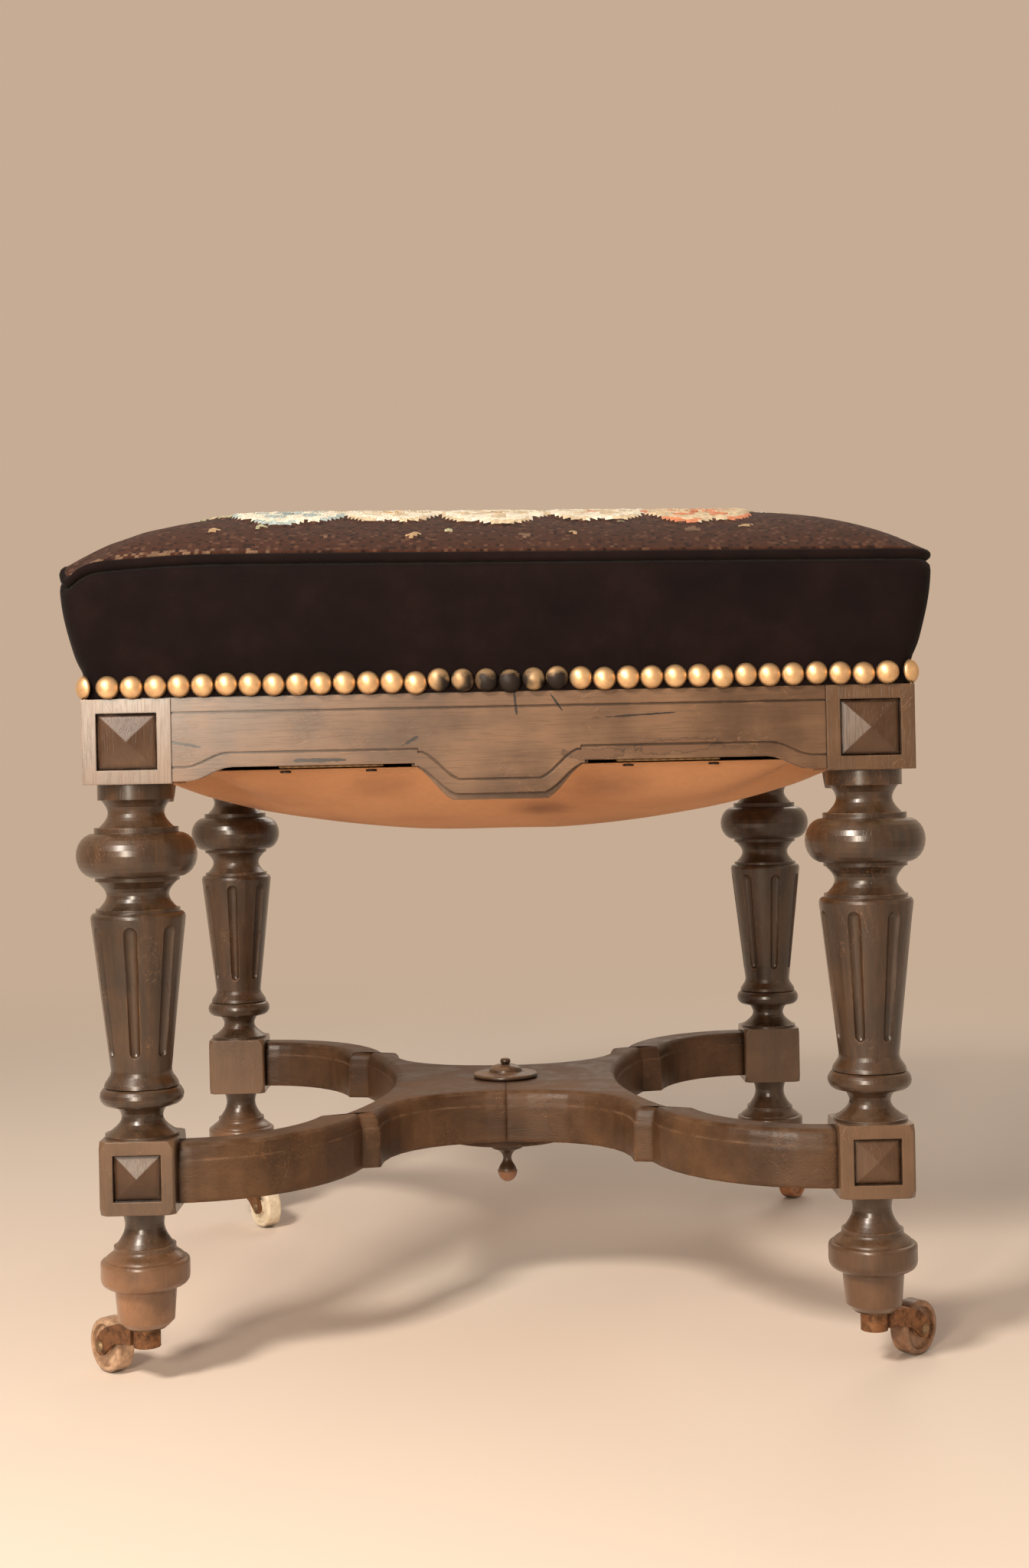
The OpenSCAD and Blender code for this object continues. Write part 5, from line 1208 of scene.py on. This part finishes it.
# %% Weave the straps
strap_low, strap_high = (Vector(c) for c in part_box("webbing"))
STRAP_WIDE = 56 * MM
STRAP_THICK = 1.1 * MM
STRAP_PLACES = (-92 * MM, 0.0, 92 * MM)
STRAP_STEPS = 96
LAST_CROSSING = STRAP_PLACES[2] * 1.3
mid_z = (strap_low.z + strap_high.z) / 2
wave = (strap_high.z - strap_low.z) / 4
strap_half = strap_high.x
webbing_mesh = bmesh.new()
for along_x in (True, False):
    for row, across in enumerate(STRAP_PLACES):
        made = bmesh.ops.create_grid(webbing_mesh, x_segments=STRAP_STEPS, y_segments=4, size=1.0)["verts"]
        for vertex in made:
            far = vertex.co.x * strap_half
            side = across + vertex.co.y * STRAP_WIDE / 2
            over = (1 if row % 2 else -1) * (1 if along_x else -1)
            phase = math.cos(math.pi * far / STRAP_PLACES[2]) * over
            z = mid_z + phase * wave
            if abs(far) >= LAST_CROSSING:
                z = mid_z + (wave if along_x else -wave)
            vertex.co = (far, side, z) if along_x else (side, far, z)
webbing = new_object(webbing_mesh, "jute_straps", jute_finish)
thicken(webbing, STRAP_THICK, 0)
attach(webbing, "frame")
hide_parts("webbing")
print("strap faces", len(webbing.data.polygons))

# %% Tie the canvas over the springs
canvas_low, canvas_high = (Vector(c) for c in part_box("spring_canvas"))
CANVAS_FLAT = 150 * MM
CANVAS_CELLS = 48
CANVAS_THICK = 0.7 * MM
CANVAS_UP = 1.2 * MM
QUILT = 0.3 * MM
canvas_mesh = bmesh.new()
bmesh.ops.create_grid(canvas_mesh, x_segments=CANVAS_CELLS, y_segments=CANVAS_CELLS,
                      size=canvas_high.x)
for vertex in canvas_mesh.verts:
    out = max(abs(vertex.co.x), abs(vertex.co.y))
    fall = min(1.0, max(0.0, (out - CANVAS_FLAT) / (canvas_high.x - CANVAS_FLAT)))
    quilted = QUILT * lively(vertex.co.x, vertex.co.y, 0, 30, 2.2) * (1 - fall)
    border = (canvas_low.z - canvas_high.z + CANVAS_UP) * fall
    vertex.co.z = canvas_high.z - CANVAS_THICK + border + quilted
spring_canvas = new_object(canvas_mesh, "hessian_over_springs", canvas_finish)
thicken(spring_canvas, CANVAS_THICK, 0)
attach(spring_canvas, "frame")
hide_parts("spring_canvas")

# %% [markdown]
# ## Floor and light
# The stage is plain: a pale floor and soft light from four panels. The key hangs high on the
# left, a lower one before it draws the sheen along the fascia, a weak one fills from the right and
# one stands behind. The world is pale where the camera or a polished surface looks at it, and
# gives only as much light as lets a colour come out as it was written.

# %% Set the stage
FLOOR_SIZE = 30.0
BACKDROP = shade(198, 172, 148)
FADE_FROM = 0.7
FADE_TO = 2.2
floor_finish, floor_tree, floor_shader = new_finish("pale_floor", Roughness=0.7)
floor_shader.inputs["Base Color"].default_value = shade(238, 222, 206)
floor_path = add(floor_tree, "LightPath").outputs
seen_floor = math_node(floor_tree, "MAXIMUM", floor_path["Is Camera Ray"], floor_path["Is Glossy Ray"])
floor_where = add(floor_tree, "TexCoord").outputs["Object"]
far = add(floor_tree, "VectorMath", {0: floor_where}, operation="LENGTH").outputs["Value"]
fade = span(floor_tree, far, FADE_FROM, FADE_TO)
faded_floor = times(floor_tree, fade, seen_floor)
glow = add(floor_tree, "Emission", {"Color": BACKDROP, "Strength": 1.0})
floor_mix = add(floor_tree, "MixShader",
                {0: faded_floor, 1: floor_shader.outputs[0], 2: glow.outputs[0]})
floor_tree.links.new(floor_mix.outputs[0], floor_tree.nodes["Material Output"].inputs["Surface"])
floor_mesh = bmesh.new()
bmesh.ops.create_grid(floor_mesh, x_segments=1, y_segments=1, size=FLOOR_SIZE)
floor = new_object(floor_mesh, "floor", floor_finish)

AMBIENT = 0.29
world = bpy.data.worlds.new("studio")
world.use_nodes = True
bpy.context.scene.world = world
sky_tree = world.node_tree
plain_light = sky_tree.nodes["Background"]
plain_light.inputs["Color"].default_value = (1.0, 0.93, 0.86, 1.0)
plain_light.inputs["Strength"].default_value = AMBIENT
seen_light = add(sky_tree, "Background", {"Color": BACKDROP, "Strength": 1.0})
path = add(sky_tree, "LightPath")
seen = math_node(sky_tree, "MAXIMUM", path.outputs["Is Camera Ray"], path.outputs["Is Transmission Ray"])
seen = math_node(sky_tree, "MAXIMUM", seen, path.outputs["Is Glossy Ray"])
chosen = add(sky_tree, "MixShader", {0: seen, 1: plain_light.outputs[0], 2: seen_light.outputs[0]})
sky_tree.links.new(chosen.outputs[0], sky_tree.nodes["World Output"].inputs["Surface"])


LIT_PLACE = Vector((0, 0, 0.3))


def panel(name, at, size, power, colour=(1, 0.89, 0.78)):
    """A soft square lamp that faces the middle of the stool."""
    lamp = bpy.data.lights.new(name, "AREA")
    lamp.size = size
    lamp.energy = power
    lamp.color = colour
    item = bpy.data.objects.new(name, lamp)
    bpy.context.collection.objects.link(item)
    item.location = at
    item.rotation_euler = (LIT_PLACE - Vector(at)).to_track_quat("-Z", "Y").to_euler()


panel("key_panel", (-0.75, -1.3, 1.3), 0.3, 28)
panel("front_panel", (-0.5, -1.7, 0.6), 0.3, 15, (1, 0.87, 0.71))
panel("fill_panel", (1.8, -1.2, 0.9), 1.2, 1.5)
panel("back_panel", (0.5, 2.0, 1.6), 1.2, 9)
bpy.context.scene.view_settings.view_transform = "Standard"
